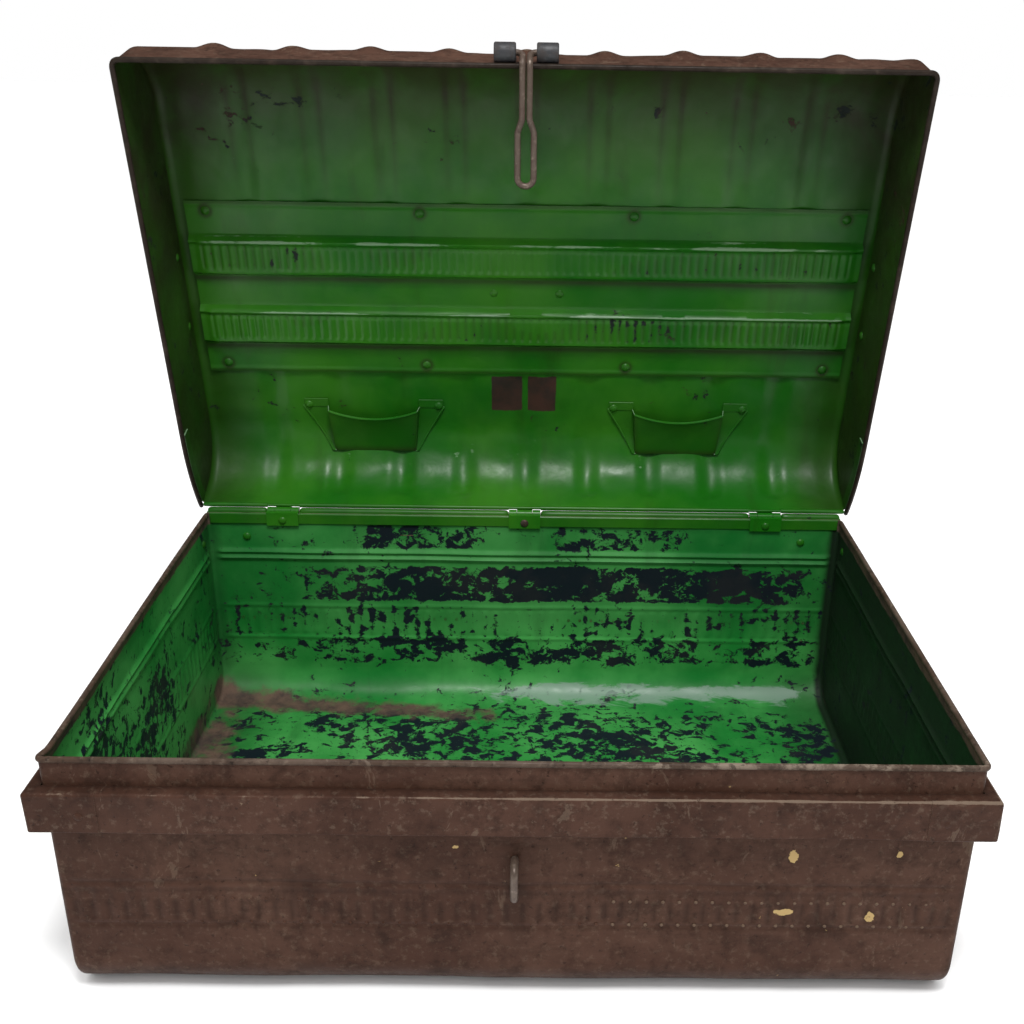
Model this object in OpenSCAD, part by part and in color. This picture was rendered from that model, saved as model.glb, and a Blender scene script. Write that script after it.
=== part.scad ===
// Pressed-steel travel trunk with a hinged, ribbed lid.
// Millimetres, +Z up, -Y is the front with the staple, origin at the middle of the
// base. The lid is drawn shut and then swung open to lid_open, which is its rest pose.

/* [Body] */
// Width over the two end panels
body_w = 626; // [520:1:760]
// Depth over the front and back walls
body_d = 420; // [340:1:510]
// Height from the base to the wired top edge
body_h = 200; // [165:1:300]
// Radius of the two long bottom bends
body_corner_r = 30; // [20:1:40]
// Thickness of the sheet steel
sheet = 0.8; // [0.6:0.05:1.0]
// Height of the neck that the lid closes over
neck_h = 22; // [18:0.5:26]
// Radius of every wired edge
roll_r = 2.2; // [1.8:0.1:2.4]

/* [Band] */
// Height of the hollow band below the neck
band_h = 32; // [24:1:40]
// How far the band stands out from the body
band_out = 10; // [8:0.5:12]
// Length of the end bands' returns along the front and the back
band_return = 48; // [36:1:60]

/* [Lid] */
// Height of the flat crown above the top of the body
lid_h = 74; // [66:1:90]
// Radius of the two long bends of the lid
lid_corner_r = 58; // [45:1:62]
// Free gap between the lid's wired edge and the body's
lid_gap = 0.5; // [0.4:0.1:1.5]
// Free gap between the shut lid and the ledge it stops above
ledge_gap = 0.8; // [0.5:0.1:2]
// Opening of the lid in the rest pose, degrees from shut
lid_open = 78; // [70:1:85]
// Length of the cut-away of the lid's ends next to the hinges
lid_cut_len = 90; // [70:1:110]
// Width of the curved strip inside that cut-away
gusset_w = 12; // [8:1:16]
// Thickness of that strip
gusset_t = 1.2; // [0.8:0.1:1.5]

/* [Ribs] */
// Distance between the pressed ribs of the lid
rib_pitch = 62.5; // [50:0.5:64]
// Width of a rib
rib_w = 32; // [20:1:36]
// Height of a rib above the sheet
rib_h = 4; // [3:0.5:6]

/* [Centre panel] */
// Length of the panel from back to front
panel_l = 170; // [150:1:190]
// Distance from the lid's back wall to the panel
panel_back = 113; // [105:1:120]
// Gap between the panel's ends and the lid's ends
panel_side_gap = 9; // [4:1:20]
// Width of a raised band on the panel
panel_band_w = 40; // [30:1:46]
// Height of a raised band
panel_band_h = 7; // [4:0.5:9]
// Distance between the two raised bands
panel_band_pitch = 69; // [60:1:76]

/* [Pockets] */
// Width of a pocket's face
pocket_w = 104; // [80:1:120]
// Length of a pocket from its mouth to its foot
pocket_l = 47; // [40:1:52]
// Depth of a pocket's mouth
pocket_depth = 14; // [10:1:16]
// Distance of a pocket's middle from the lid's middle
pocket_x = 152; // [130:1:175]
// Width of the ears beside a pocket's mouth
pocket_ear = 18; // [14:1:22]

/* [Hinges] */
// Distance of the outer hinges from the middle one
hinge_span = 238; // [200:1:250]
// Width of a hinge leaf
leaf_w = 31; // [26:1:40]
// Thickness of a hinge leaf
leaf_t = 1.5; // [1:0.1:2]
// Outer radius of a hinge knuckle
knuckle_r = 4.2; // [4:0.1:5]
// Radius of a hinge pin
pin_r = 1.6; // [1.4:0.1:2]
// Radial running clearance of the pins and of the hasp in its barrels
run_fit = 0.05; // [0.02:0.01:0.09]
// Gap between neighbouring knuckles
knuckle_gap = 0.3; // [0.3:0.1:0.6]

/* [Hasp] */
// Length of the hasp from its pivot to its tip
hasp_len = 101; // [96:1:116]
// Radius of the hasp wire
wire_r = 2.5; // [2:0.1:2.7]
// Outer radius of a hasp barrel
barrel_r = 7.5; // [6.5:0.5:7.5]
// Length of a hasp barrel
barrel_l = 17; // [14:1:26]
// Clear width of the hasp's eye
eye_w = 7.8; // [7.2:0.1:9]
// Distance that a staple stands out from the front
staple_out = 17; // [14:0.5:17.5]
// Clear height inside the staple
staple_gap = 20; // [17:1:22]
// Radius of the staple's bar
staple_r = 2.8; // [2.2:0.1:3]

/* [Handles] */
// Distance between a handle's two legs
handle_w = 96; // [80:1:120]
// Drop of a handle below its pivot
handle_drop = 36; // [30:1:40]
// Radius of a handle's bar
handle_r = 3.5; // [3:0.1:4]
// Height of a handle's pivot below the bottom of the band
handle_below = 26; // [24:1:32]

/* [Rivets] */
// Radius of a rivet head
rivet_r = 4; // [3:0.5:4.5]
// Height of a rivet head
rivet_h = 2; // [1.5:0.1:2.4]

/* [Hidden] */
$fn = 48;
eps = 0.01;
bend_steps = 10;

half_w = body_w / 2;
half_d = body_d / 2;
ledge_z = body_h - neck_h;
band_z = ledge_z - band_h;
roll_z = body_h - roll_r;

// The lid stands off the neck by both wired edges and the free gap between them.
lid_off = 2 * roll_r + lid_gap;
lid_front = half_d + lid_off;
lid_side = half_w + lid_off;
lid_edge_z = ledge_z + ledge_gap + roll_r;
lid_back_z = body_h + ledge_gap + roll_r;
crown_z = body_h + lid_h;
bend_z = crown_z - lid_corner_r;
crown_in_z = crown_z - sheet;

// Cut-away of the lid's ends: an arc that climbs from the wired edge to the hinge line.
cut_y = half_d - lid_cut_len;
cut_rise = body_h - lid_edge_z - 1;
cut_r = (lid_cut_len * lid_cut_len + cut_rise * cut_rise) / (2 * cut_rise);
cut_angle = asin(lid_cut_len / cut_r);
cut_z = lid_edge_z + cut_r;

// Hinge axis: just behind the back wall, level with the top of the body.
hinge_y = half_d + knuckle_r + 0.6;
hinge_xs = [-hinge_span, 0, hinge_span];
knuckle_l = leaf_w / 2 - knuckle_gap;
leaf_gap = 0.3;
// The curl stays inside the circle that the lid's back edge sweeps.
back_roll_r = norm([half_d - sheet / 2 - hinge_y, lid_back_z - body_h]) - roll_r - 0.4;
strip_t = 2 * sheet;
strip_h = 11;
tongue_h = 12;
tongue_y = half_d - sheet - strip_t;
tail_l = 8;

rib_count = 9;
rib_xs = [for (i = [0 : rib_count - 1]) (i - (rib_count - 1) / 2) * rib_pitch];
rib_front_z = body_h + 6;
rib_end_a = 3;

panel_y1 = half_d - panel_back;
panel_y0 = panel_y1 - panel_l;
panel_mid_y = (panel_y0 + panel_y1) / 2;
panel_slope = 4;
panel_half_w = lid_side - sheet - panel_side_gap;

pocket_y0 = panel_y1 + 38;
pocket_y1 = pocket_y0 + pocket_l;

// Hasp pivot on the shut lid, and its bends measured forward and down from the pivot.
barrel_in = wire_r * 2 + 3;
pivot_y = -(lid_front + barrel_r + 0.5);
pivot_z = ledge_z + barrel_r + 2.5;
barrel_plate_t = 1.2;
leg_x = wire_r + 0.3;
eye_x = eye_w / 2 + wire_r;
crank_out = 12;
crank_top = 7;
crank_low = 48;
crank_back = 8;
eye_top = 58;
staple_z = band_z - 37;

handle_z = band_z - handle_below;
bracket_t = 1.5;
bracket_r = handle_r + 2.5;
bracket_l = 13;
handle_x = half_w + bracket_t + bracket_r + 0.5;

// ---- shared shapes ----

function arc(cy, cz, r, a0, a1, n = bend_steps) =
    [for (i = [0 : n]) [cy + r * cos(a0 + (a1 - a0) * i / n),
                        cz + r * sin(a0 + (a1 - a0) * i / n)]];

function reversed(v) = [for (i = [len(v) - 1 : -1 : 0]) v[i]];

// Side view of the body from the front top edge round the base to the back top edge.
function body_path(inset) = concat(
    [[-(half_d - inset), roll_z]],
    arc(body_corner_r - half_d, body_corner_r, body_corner_r - inset, 180, 270),
    arc(half_d - body_corner_r, body_corner_r, body_corner_r - inset, 270, 360),
    [[half_d - inset, body_h]]);

// Side view of the shut lid, from z0 at the front over the crown to z1 at the back.
function lid_path(out, z0, z1) = concat(
    [[-(lid_front + out), z0]],
    arc(lid_corner_r - lid_front, bend_z, lid_corner_r + out, 180, 90),
    arc(half_d - lid_corner_r, bend_z, lid_corner_r + out, 90, 0),
    [[half_d + out, z1]]);

// Side view of a rib, which stops at angle a1 of the back bend.
function rib_path(out, z0, a1) = concat(
    [[-(lid_front + out), z0]],
    arc(lid_corner_r - lid_front, bend_z, lid_corner_r + out, 180, 90),
    arc(half_d - lid_corner_r, bend_z, lid_corner_r + out, 90, 90 / bend_steps, bend_steps - 1),
    [[half_d - lid_corner_r + (lid_corner_r + out) * cos(a1),
      bend_z + (lid_corner_r + out) * sin(a1)]]);

// Extrudes a side view, drawn as depth and height, over a span of the width.
module across(x0, x1, points) {
    translate([x0, 0, 0])
        rotate([90, 0, 90])
            linear_extrude(x1 - x0)
                polygon(points);
}

module box(x0, x1, y0, y1, z0, z1) {
    translate([x0, y0, z0]) cube([x1 - x0, y1 - y0, z1 - z0]);
}

module rod_x(x0, x1, y, z, r) {
    translate([x0, y, z]) rotate([0, 90, 0]) cylinder(r = r, h = x1 - x0);
}

module rod_y(y0, y1, x, z, r) {
    translate([x, y0, z]) rotate([-90, 0, 0]) cylinder(r = r, h = y1 - y0);
}

// Round bar between two points with a ball at the second. The ball is a touch larger
// than the bar, as a forged bend is.
module rod(p, q, r) {
    d = q - p;
    l = norm(d);
    translate(p)
        rotate([0, acos(d[2] / l), atan2(d[1], d[0])])
            cylinder(r = r, h = l);
    translate(q) sphere(r = r + 0.1);
}

// Domed rivet head that stands up from z = 0.
module rivet_head() {
    dome = (rivet_r * rivet_r + rivet_h * rivet_h) / (2 * rivet_h);
    intersection() {
        translate([0, 0, rivet_h - dome]) sphere(r = dome);
        cylinder(r = rivet_r + 1, h = rivet_h + 1);
    }
}

// Swings what is drawn on the shut lid to the rest pose.
module lid_place() {
    translate([0, hinge_y, body_h])
        rotate([-lid_open, 0, 0])
            translate([0, -hinge_y, -body_h])
                children();
}

module left_side() {
    mirror([1, 0, 0]) children();
}

// ---- body ----

module body_wrap() {
    x = half_w - sheet;
    color("#4b342c") difference() {
        across(-x, x, concat(body_path(0), reversed(body_path(sheet))));
        for (z = staple_leg_zs)
            rod_y(-half_d - 1, -half_d + sheet + 1, 0, z, staple_r + run_fit);
    }
}

module body_end() {
    outline = concat(
        [for (p = body_path(0)) [p[0], min(p[1], roll_z)]]);
    color("#4b342c") across(half_w - sheet, half_w, outline);
}

module body_rim_roll() {
    x = half_w - sheet / 2;
    y = half_d - sheet / 2;
    back = half_d - sheet;
    color("#6b5648") difference() {
        union() {
            rod_x(-x, x, -y, roll_z, roll_r);
            rod_y(-y, back, -x, roll_z, roll_r);
            rod_y(-y, back, x, roll_z, roll_r);
            for (s = [-1, 1])
                translate([s * x, -y, roll_z]) sphere(r = roll_r);
        }
        difference() {
            box(-half_w, half_w, -half_d, half_d, roll_z - 5, roll_z);
            box(sheet - half_w, half_w - sheet, sheet - half_d, half_d + 1, 0, body_h);
        }
    }
}

// The back wall's top edge, curled outward about the hinge axis between the hinges.
module body_back_roll() {
    x = half_w - sheet / 2;
    notch = leaf_w / 2 + 1.5;
    color("#6b5648") difference() {
        union() {
            rod_x(-x, x, hinge_y, body_h, back_roll_r);
            box(-x, x, half_d, hinge_y, body_h - sheet, body_h);
        }
        for (hx = hinge_xs)
            box(hx - notch, hx + notch, half_d - 1, hinge_y + 6, body_h - 6, body_h + 6);
    }
}

module back_rim_strip() {
    x = half_w - sheet / 2 - roll_r - 0.4;
    y = half_d - sheet;
    color("#2f6b2c") box(-x, x, y - strip_t, y, body_h - strip_h, body_h);
}

module band_ring() {
    x = half_w + band_out;
    y = half_d + band_out;
    difference() {
        box(-x, x, -y, y, band_z, ledge_z);
        box(-half_w, half_w, -half_d, half_d, band_z - 1, ledge_z + 1);
        difference() {
            box(sheet - x, x - sheet, sheet - y, y - sheet, band_z + sheet, ledge_z - sheet);
            box(-half_w, half_w, -half_d, half_d, band_z, ledge_z);
        }
    }
}

module band_long() {
    x = half_w + band_out - band_return;
    y = half_d + band_out;
    color("#4b342c") intersection() {
        band_ring();
        box(-x, x, -y - 1, 0, band_z - 1, ledge_z + 1);
    }
}

module band_end() {
    x = half_w + band_out;
    y = half_d + band_out;
    color("#52392f") intersection() {
        band_ring();
        box(x - band_return, x + 1, -y - 1, y + 1, band_z - 1, ledge_z + 1);
    }
}

module neck_rivets() {
    y = half_d - sheet;
    x = half_w - sheet;
    z = ledge_z - 3;
    color("#3c7a38") {
        for (s = [-1, 1]) {
            translate([s * (half_w - 38), y, z]) rotate([90, 0, 0]) rivet_head();
            translate([s * (half_w - 38), -y, z]) rotate([-90, 0, 0]) rivet_head();
            for (e = [-1, 1])
                translate([s * x, e * (half_d - 22), z]) rotate([0, -90 * s, 0]) rivet_head();
        }
    }
}

staple_leg_zs = [staple_z - (staple_gap / 2 + staple_r), staple_z + staple_gap / 2 + staple_r];

module staple() {
    tip = half_d + staple_out - staple_r;
    color("#5a463a") {
        rod([0, -half_d + 3, staple_leg_zs[0]], [0, -tip, staple_leg_zs[0]], staple_r);
        rod([0, -tip, staple_leg_zs[0]], [0, -tip, staple_leg_zs[1]], staple_r);
        rod([0, -tip, staple_leg_zs[1]], [0, -half_d, staple_leg_zs[1]], staple_r);
        rod_y(-half_d, -half_d + 3, 0, staple_leg_zs[1], staple_r);
    }
}

module staple_backing() {
    y = -half_d + sheet;
    color("#2f6b2c") difference() {
        box(-12, 12, y, y + 1.2, staple_leg_zs[0] - 9, staple_leg_zs[1] + 9);
        for (z = staple_leg_zs)
            rod_y(y - 1, y + 2, 0, z, staple_r + run_fit);
    }
}

// ---- hinges ----

module hinge_body_leaf(x) {
    outer = leaf_w / 2;
    inner = knuckle_l / 2;
    front = tongue_y - leaf_t;
    color("#5a463a") difference() {
        union() {
            box(x - outer, x + outer, front, tongue_y, body_h - tongue_h, body_h + leaf_t);
            box(x - outer, x + outer, front, half_d, body_h, body_h + leaf_t);
            box(x - outer, x + outer, half_d, half_d + leaf_t, ledge_z + 3, body_h + leaf_t);
            for (s = [-1, 1])
                translate([x + s * (outer + inner + knuckle_gap) / 2, 0, 0]) {
                    l = outer - inner - knuckle_gap;
                    rod_x(-l / 2, l / 2, hinge_y, body_h, knuckle_r);
                }
        }
        box(x - inner - knuckle_gap, x + inner + knuckle_gap, half_d - eps,
            hinge_y + knuckle_r + 1, body_h - knuckle_r - leaf_gap, body_h + knuckle_r + 1);
        rod_x(x - outer - 1, x + outer + 1, hinge_y, body_h, pin_r + run_fit);
    }
}

module hinge_lid_leaf(x) {
    outer = leaf_w / 2;
    inner = knuckle_l / 2;
    leaf_z = body_h + knuckle_r + leaf_gap + 0.1;
    color("#5a463a") difference() {
        union() {
            box(x - outer, x + outer, half_d, half_d + leaf_t, leaf_z, bend_z);
            box(x - inner, x + inner, half_d, hinge_y, body_h + leaf_t + 0.7, leaf_z);
            rod_x(x - inner, x + inner, hinge_y, body_h, knuckle_r);
            translate([x - inner, hinge_y, body_h])
                rotate([lid_open, 0, 0])
                    translate([0, half_d + leaf_t + leaf_gap - hinge_y, -3 - tail_l])
                        cube([2 * inner, leaf_t, tail_l]);
        }
        rod_x(x - inner - 1, x + inner + 1, hinge_y, body_h, pin_r + run_fit);
    }
}

module hinge_pin(x) {
    color("#8a8078") rod_x(x - leaf_w / 2 - 0.8, x + leaf_w / 2 + 0.8, hinge_y, body_h, pin_r);
}

module hinge_body_rivets() {
    color("#5a463a") for (x = hinge_xs) {
        translate([x, tongue_y - leaf_t, body_h - 6.5]) rotate([90, 0, 0]) rivet_head();
        for (s = [-1, 1])
            translate([x + s * leaf_w / 3, half_d + leaf_t, ledge_z + 6.7])
                rotate([-90, 0, 0]) scale(0.8) rivet_head();
    }
}

module hinge_lid_rivets() {
    color("#5a463a") for (x = hinge_xs, s = [-1, 1])
        translate([x + s * leaf_w / 3, half_d + leaf_t, bend_z - 5.5])
            rotate([-90, 0, 0]) rivet_head();
}

// ---- handles, drawn on the right end ----

module handle_bracket() {
    color("#5a463a") for (s = [-1, 1]) {
        y0 = handle_w / 2 + handle_r + 0.6;
        translate([0, s > 0 ? y0 : -y0 - bracket_l, 0]) difference() {
            union() {
                box(half_w, half_w + bracket_t, -3, bracket_l + 3, handle_z - 14, handle_z + 14);
                box(half_w, handle_x, 0, bracket_l, handle_z - 1.5, handle_z + 1.5);
                rod_y(0, bracket_l, handle_x, handle_z, bracket_r);
            }
            rod_y(-1, bracket_l + 1, handle_x, handle_z, handle_r + run_fit);
        }
    }
}

module handle() {
    y = handle_w / 2;
    pin = y + handle_r + bracket_l;
    low = handle_z - handle_drop;
    color("#3f3029") {
        rod_y(y, pin, handle_x, handle_z, handle_r);
        rod_y(-pin, -y, handle_x, handle_z, handle_r);
        for (s = [-1, 1])
            rod([handle_x, s * y, low], [handle_x, s * y, handle_z], handle_r);
        rod([handle_x, -y, low], [handle_x, y, low], handle_r);
        translate([handle_x, -y, low]) sphere(r = handle_r + 0.1);
    }
}

module handle_rivets() {
    y = handle_w / 2 + handle_r + 0.6 + bracket_l / 2;
    color("#5a463a") for (e = [-1, 1], s = [-1, 1], up = [-1, 1])
        translate([e * (half_w + bracket_t), s * y, handle_z + up * 10])
            rotate([0, 90 * e, 0]) scale(0.8) rivet_head();
}

// ---- lid, drawn shut ----

module lid_wrap() {
    x = lid_side - sheet;
    color("#2f7a2a") lid_place() difference() {
        union() {
            across(-x, x, concat(lid_path(0, lid_edge_z, lid_back_z),
                reversed(lid_path(-sheet, lid_edge_z, lid_back_z))));
            for (rx = rib_xs)
                across(rx - rib_w / 2, rx + rib_w / 2,
                    concat(rib_path(rib_h, rib_front_z, rib_end_a),
                        reversed(rib_path(-sheet / 2, rib_front_z, rib_end_a))));
        }
        for (rx = rib_xs)
            across(rx - rib_w / 2 + sheet, rx + rib_w / 2 - sheet,
                concat(rib_path(rib_h - sheet, rib_front_z + sheet, rib_end_a + 1),
                    reversed(rib_path(-sheet - 1, rib_front_z + sheet, rib_end_a + 1))));
    }
}

function lid_end_outline() = concat(
    lid_path(0, lid_edge_z, lid_back_z),
    reversed(arc(cut_y, cut_z, cut_r, 270, 270 + cut_angle)));

module lid_end() {
    color("#27661f") lid_place() across(lid_side - sheet, lid_side, lid_end_outline());
}

// Wired edge of one end's cut-away, swept along its arc.
module cut_roll(x) {
    translate([x, cut_y, cut_z])
        rotate([90, 0, 90])
            rotate([0, 0, 270])
                rotate_extrude(angle = cut_angle)
                    translate([cut_r, 0]) circle(r = roll_r);
}

module lid_rim_roll() {
    x = lid_side - sheet / 2;
    y = lid_front - sheet / 2;
    color("#6b5648") lid_place() difference() {
        union() {
            rod_x(-x, x, -y, lid_edge_z, roll_r);
            for (s = [-1, 1]) {
                rod_y(-y, cut_y, s * x, lid_edge_z, roll_r);
                translate([s * x, -y, lid_edge_z]) sphere(r = roll_r);
                cut_roll(s * x);
            }
        }
        box(-lid_side, lid_side, -lid_front, -lid_front + sheet, lid_edge_z, body_h);
        for (s = [0, 1])
            mirror([s, 0, 0]) across(lid_side - sheet, lid_side, lid_end_outline());
    }
}

module lid_back_roll() {
    x = lid_side - sheet;
    y = half_d - sheet / 2;
    notch = leaf_w / 2 + 1;
    color("#6b5648") lid_place() difference() {
        rod_x(-x, x, y, lid_back_z, roll_r);
        box(-x, x, half_d - sheet, half_d, lid_back_z, bend_z);
        for (hx = hinge_xs)
            box(hx - notch, hx + notch, y - 5, y + 5, body_h, bend_z);
    }
}

module lid_gusset() {
    x = lid_side - sheet;
    edge = roll_r + 0.8;
    a1 = 270 + cut_angle - 2.2;
    color("#5c7a4c") lid_place()
        across(x - gusset_t, x, concat(
            arc(cut_y, cut_z, cut_r - edge, 270, a1),
            reversed(arc(cut_y, cut_z, cut_r - edge - gusset_w, 270, a1))));
}

// Section of the centre panel: flat, with two raised bands.
function panel_path(z) = concat(
    [[panel_y0, z]],
    [for (s = [-1, 1]) for (p = band_corners(panel_mid_y + s * panel_band_pitch / 2, z)) p],
    [[panel_y1, z]]);

function band_corners(mid, z) = [
    [mid - panel_band_w / 2, z],
    [mid - panel_band_w / 2 + panel_slope, z - panel_band_h],
    [mid + panel_band_w / 2 - panel_slope, z - panel_band_h],
    [mid + panel_band_w / 2, z]];

module lid_centre_panel() {
    color("#2f7a2a") lid_place()
        across(-panel_half_w, panel_half_w,
            concat(panel_path(crown_in_z), reversed(panel_path(crown_in_z - sheet))));
}

module lid_panel_rivets() {
    z = crown_in_z - sheet;
    color("#3c7a38") lid_place() {
        for (x = [-290, -97, 97, 290], y = [panel_y0 + 9, panel_y1 - 9])
            translate([x * panel_half_w / 308, y, z]) rotate([180, 0, 0]) rivet_head();
        for (x = [-31, 31])
            translate([x, panel_mid_y, z]) rotate([180, 0, 0]) rivet_head();
        for (s = [-1, 1], y = [panel_mid_y - 38, panel_mid_y + 30])
            translate([s * (lid_side - sheet), y, crown_in_z - 20])
                rotate([0, -90 * s, 0]) rivet_head();
    }
}

// Height of the lid's inner skin at a depth within the back bend.
function skin_z(y) = bend_z + sqrt(pow(lid_corner_r - sheet, 2)
    - pow(max(0, y - (half_d - lid_corner_r)), 2));

module lid_pocket() {
    half = pocket_w / 2;
    mouth = crown_in_z - pocket_depth;
    foot = skin_z(pocket_y1) - 1;
    face = [[pocket_y0, mouth], [pocket_y1, foot],
            [pocket_y1, foot + sheet], [pocket_y0, mouth + sheet]];
    side = concat([[pocket_y0, mouth], [pocket_y1, foot]],
        [for (i = [0 : 6]) let (y = pocket_y1 + (pocket_y0 - pocket_y1) * i / 6)
            [y, skin_z(y) - 0.15]]);
    color("#2f7a2a") lid_place() translate([pocket_x, 0, 0]) {
        across(-half, half, face);
        for (s = [-1, 1])
            translate([s > 0 ? half - sheet : -half, 0, 0]) across(0, sheet, side);
        for (s = [-1, 1]) {
            x0 = s > 0 ? half - sheet : -half - pocket_ear;
            box(x0, x0 + pocket_ear + sheet, pocket_y0 - 9, pocket_y0 + 9,
                crown_in_z - sheet - 0.2, crown_in_z - 0.2);
        }
    }
}

module lid_pocket_rivets() {
    x = pocket_w / 2 + pocket_ear - rivet_r - 1.5;
    color("#3c7a38") lid_place() for (p = [-1, 1], s = [-1, 1])
        translate([p * pocket_x + s * x, pocket_y0 - 1, crown_in_z - sheet - 0.2])
            rotate([180, 0, 0]) rivet_head();
}

// ---- hasp ----

module hasp_barrel() {
    x0 = barrel_in;
    x1 = barrel_in + barrel_l;
    plate_y = -lid_front - barrel_plate_t;
    color("#4a4a4c") lid_place() difference() {
        union() {
            rod_x(x0, x1, pivot_y, pivot_z, barrel_r);
            box(x0, x1, plate_y, -lid_front, pivot_z - 1.5, rib_front_z - 1);
            box(x0, x1, pivot_y, -lid_front, pivot_z - 1.5, pivot_z + 1.5);
        }
        rod_x(x0 - 1, x1 + 1, pivot_y, pivot_z, wire_r + run_fit);
    }
}

module hasp_rivets() {
    color("#4a4a4c") lid_place() for (s = [-1, 1])
        translate([s * (barrel_in + barrel_l / 2), -lid_front - barrel_plate_t, rib_front_z - 5.5])
            rotate([90, 0, 0]) scale(0.8) rivet_head();
}

// Places what is drawn about the hasp's pivot: forward is -Y and down is -Z.
module hasp_place() {
    a = -lid_open;
    dy = pivot_y - hinge_y;
    dz = pivot_z - body_h;
    translate([0, hinge_y + dy * cos(a) - dz * sin(a), body_h + dy * sin(a) + dz * cos(a)])
        children();
}

module hasp_link() {
    turn = hasp_len - wire_r - eye_x;
    color("#5f4c40") hasp_place() {
        for (s = [-1, 1]) {
            rod([s * (barrel_in + barrel_l), 0, 0], [s * leg_x, 0, 0], wire_r);
            rod([s * leg_x, 0, 0], [s * leg_x, -crank_out, -crank_top], wire_r);
            rod([s * leg_x, -crank_out, -crank_top], [s * leg_x, -crank_out, -crank_low], wire_r);
            rod([s * leg_x, -crank_out, -crank_low], [s * eye_x, -crank_back, -eye_top], wire_r);
            rod([s * eye_x, -crank_back, -eye_top], [s * eye_x, -crank_back, -turn], wire_r);
        }
        translate([0, -crank_back, -turn])
            rotate([-90, 0, 0])
                rotate_extrude(angle = 180)
                    translate([eye_x, 0]) circle(r = wire_r);
    }
}

body_wrap();
left_side() body_end();  // body_end_left
body_end();  // body_end_right
body_rim_roll();
body_back_roll();
back_rim_strip();
band_long();  // band_front
mirror([0, 1, 0]) band_long();  // band_back
left_side() band_end();  // band_left
band_end();  // band_right
neck_rivets();
staple();
staple_backing();
hinge_body_leaf(hinge_xs[0]);  // hinge_body_leaf_left
hinge_body_leaf(hinge_xs[1]);  // hinge_body_leaf_middle
hinge_body_leaf(hinge_xs[2]);  // hinge_body_leaf_right
hinge_pin(hinge_xs[0]);  // hinge_pin_left
hinge_pin(hinge_xs[1]);  // hinge_pin_middle
hinge_pin(hinge_xs[2]);  // hinge_pin_right
hinge_body_rivets();
left_side() handle_bracket();  // handle_bracket_left
handle_bracket();  // handle_bracket_right
handle_rivets();
left_side() handle();  // handle_left
handle();  // handle_right
lid_wrap();
left_side() lid_end();  // lid_end_left
lid_end();  // lid_end_right
lid_rim_roll();
lid_back_roll();
left_side() lid_gusset();  // lid_gusset_left
lid_gusset();  // lid_gusset_right
lid_centre_panel();
lid_panel_rivets();
left_side() lid_pocket();  // lid_pocket_left
lid_pocket();  // lid_pocket_right
lid_pocket_rivets();
lid_place() hinge_lid_leaf(hinge_xs[0]);  // hinge_lid_leaf_left
lid_place() hinge_lid_leaf(hinge_xs[1]);  // hinge_lid_leaf_middle
lid_place() hinge_lid_leaf(hinge_xs[2]);  // hinge_lid_leaf_right
lid_place() hinge_lid_rivets();
left_side() hasp_barrel();  // hasp_barrel_left
hasp_barrel();  // hasp_barrel_right
hasp_rivets();
hasp_link();
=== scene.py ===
import logging
import math
from dataclasses import dataclass
from enum import Enum
from typing import Sequence, Union

import bpy
import numpy as np
from mathutils import Matrix, Vector


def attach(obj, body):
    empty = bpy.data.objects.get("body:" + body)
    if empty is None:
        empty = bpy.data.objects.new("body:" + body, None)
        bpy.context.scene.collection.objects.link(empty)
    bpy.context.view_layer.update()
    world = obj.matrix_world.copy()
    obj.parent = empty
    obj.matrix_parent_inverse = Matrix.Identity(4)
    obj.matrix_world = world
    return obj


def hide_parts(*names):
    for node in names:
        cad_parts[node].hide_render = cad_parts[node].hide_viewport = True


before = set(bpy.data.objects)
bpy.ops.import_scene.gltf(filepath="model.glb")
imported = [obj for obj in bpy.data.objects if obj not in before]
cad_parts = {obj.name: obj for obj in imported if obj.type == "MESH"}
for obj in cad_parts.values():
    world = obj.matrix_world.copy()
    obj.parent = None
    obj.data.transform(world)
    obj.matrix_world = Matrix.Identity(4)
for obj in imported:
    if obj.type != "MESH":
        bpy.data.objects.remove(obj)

LOG = logging.getLogger("tin_trunk")
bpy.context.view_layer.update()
MM = 0.001
Array = np.ndarray
Colour = tuple[float, float, float]
Marks = dict[str, Union[float, Array]]
Socket = bpy.types.NodeSocket


# ---------------------------------------------------------------- sizes


@dataclass(frozen=True)
class BodySize:
    """Sizes of the body, in millimetres."""

    half_w: float = 313.0
    half_d: float = 210.0
    height: float = 200.0
    bend: float = 30.0
    edge: float = 4.5
    sheet: float = 0.8
    neck: float = 22.0
    roll: float = 2.2
    flute_low: float = 67.0
    flute_high: float = 95.0
    flute_pitch: float = 11.45
    bead_low: float = 152.0
    bead_high: float = 159.0

    @property
    def roll_z(self) -> float:
        """Height of the wired edge's centre."""
        return self.height - self.roll

    @property
    def ledge_z(self) -> float:
        """Height of the ledge at the neck's foot."""
        return self.height - self.neck


@dataclass(frozen=True)
class BandSize:
    """Sizes of the hollow band below the neck, in millimetres."""

    out: float = 10.0
    height: float = 32.0
    returned: float = 48.0
    fold: float = 2.6


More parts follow.
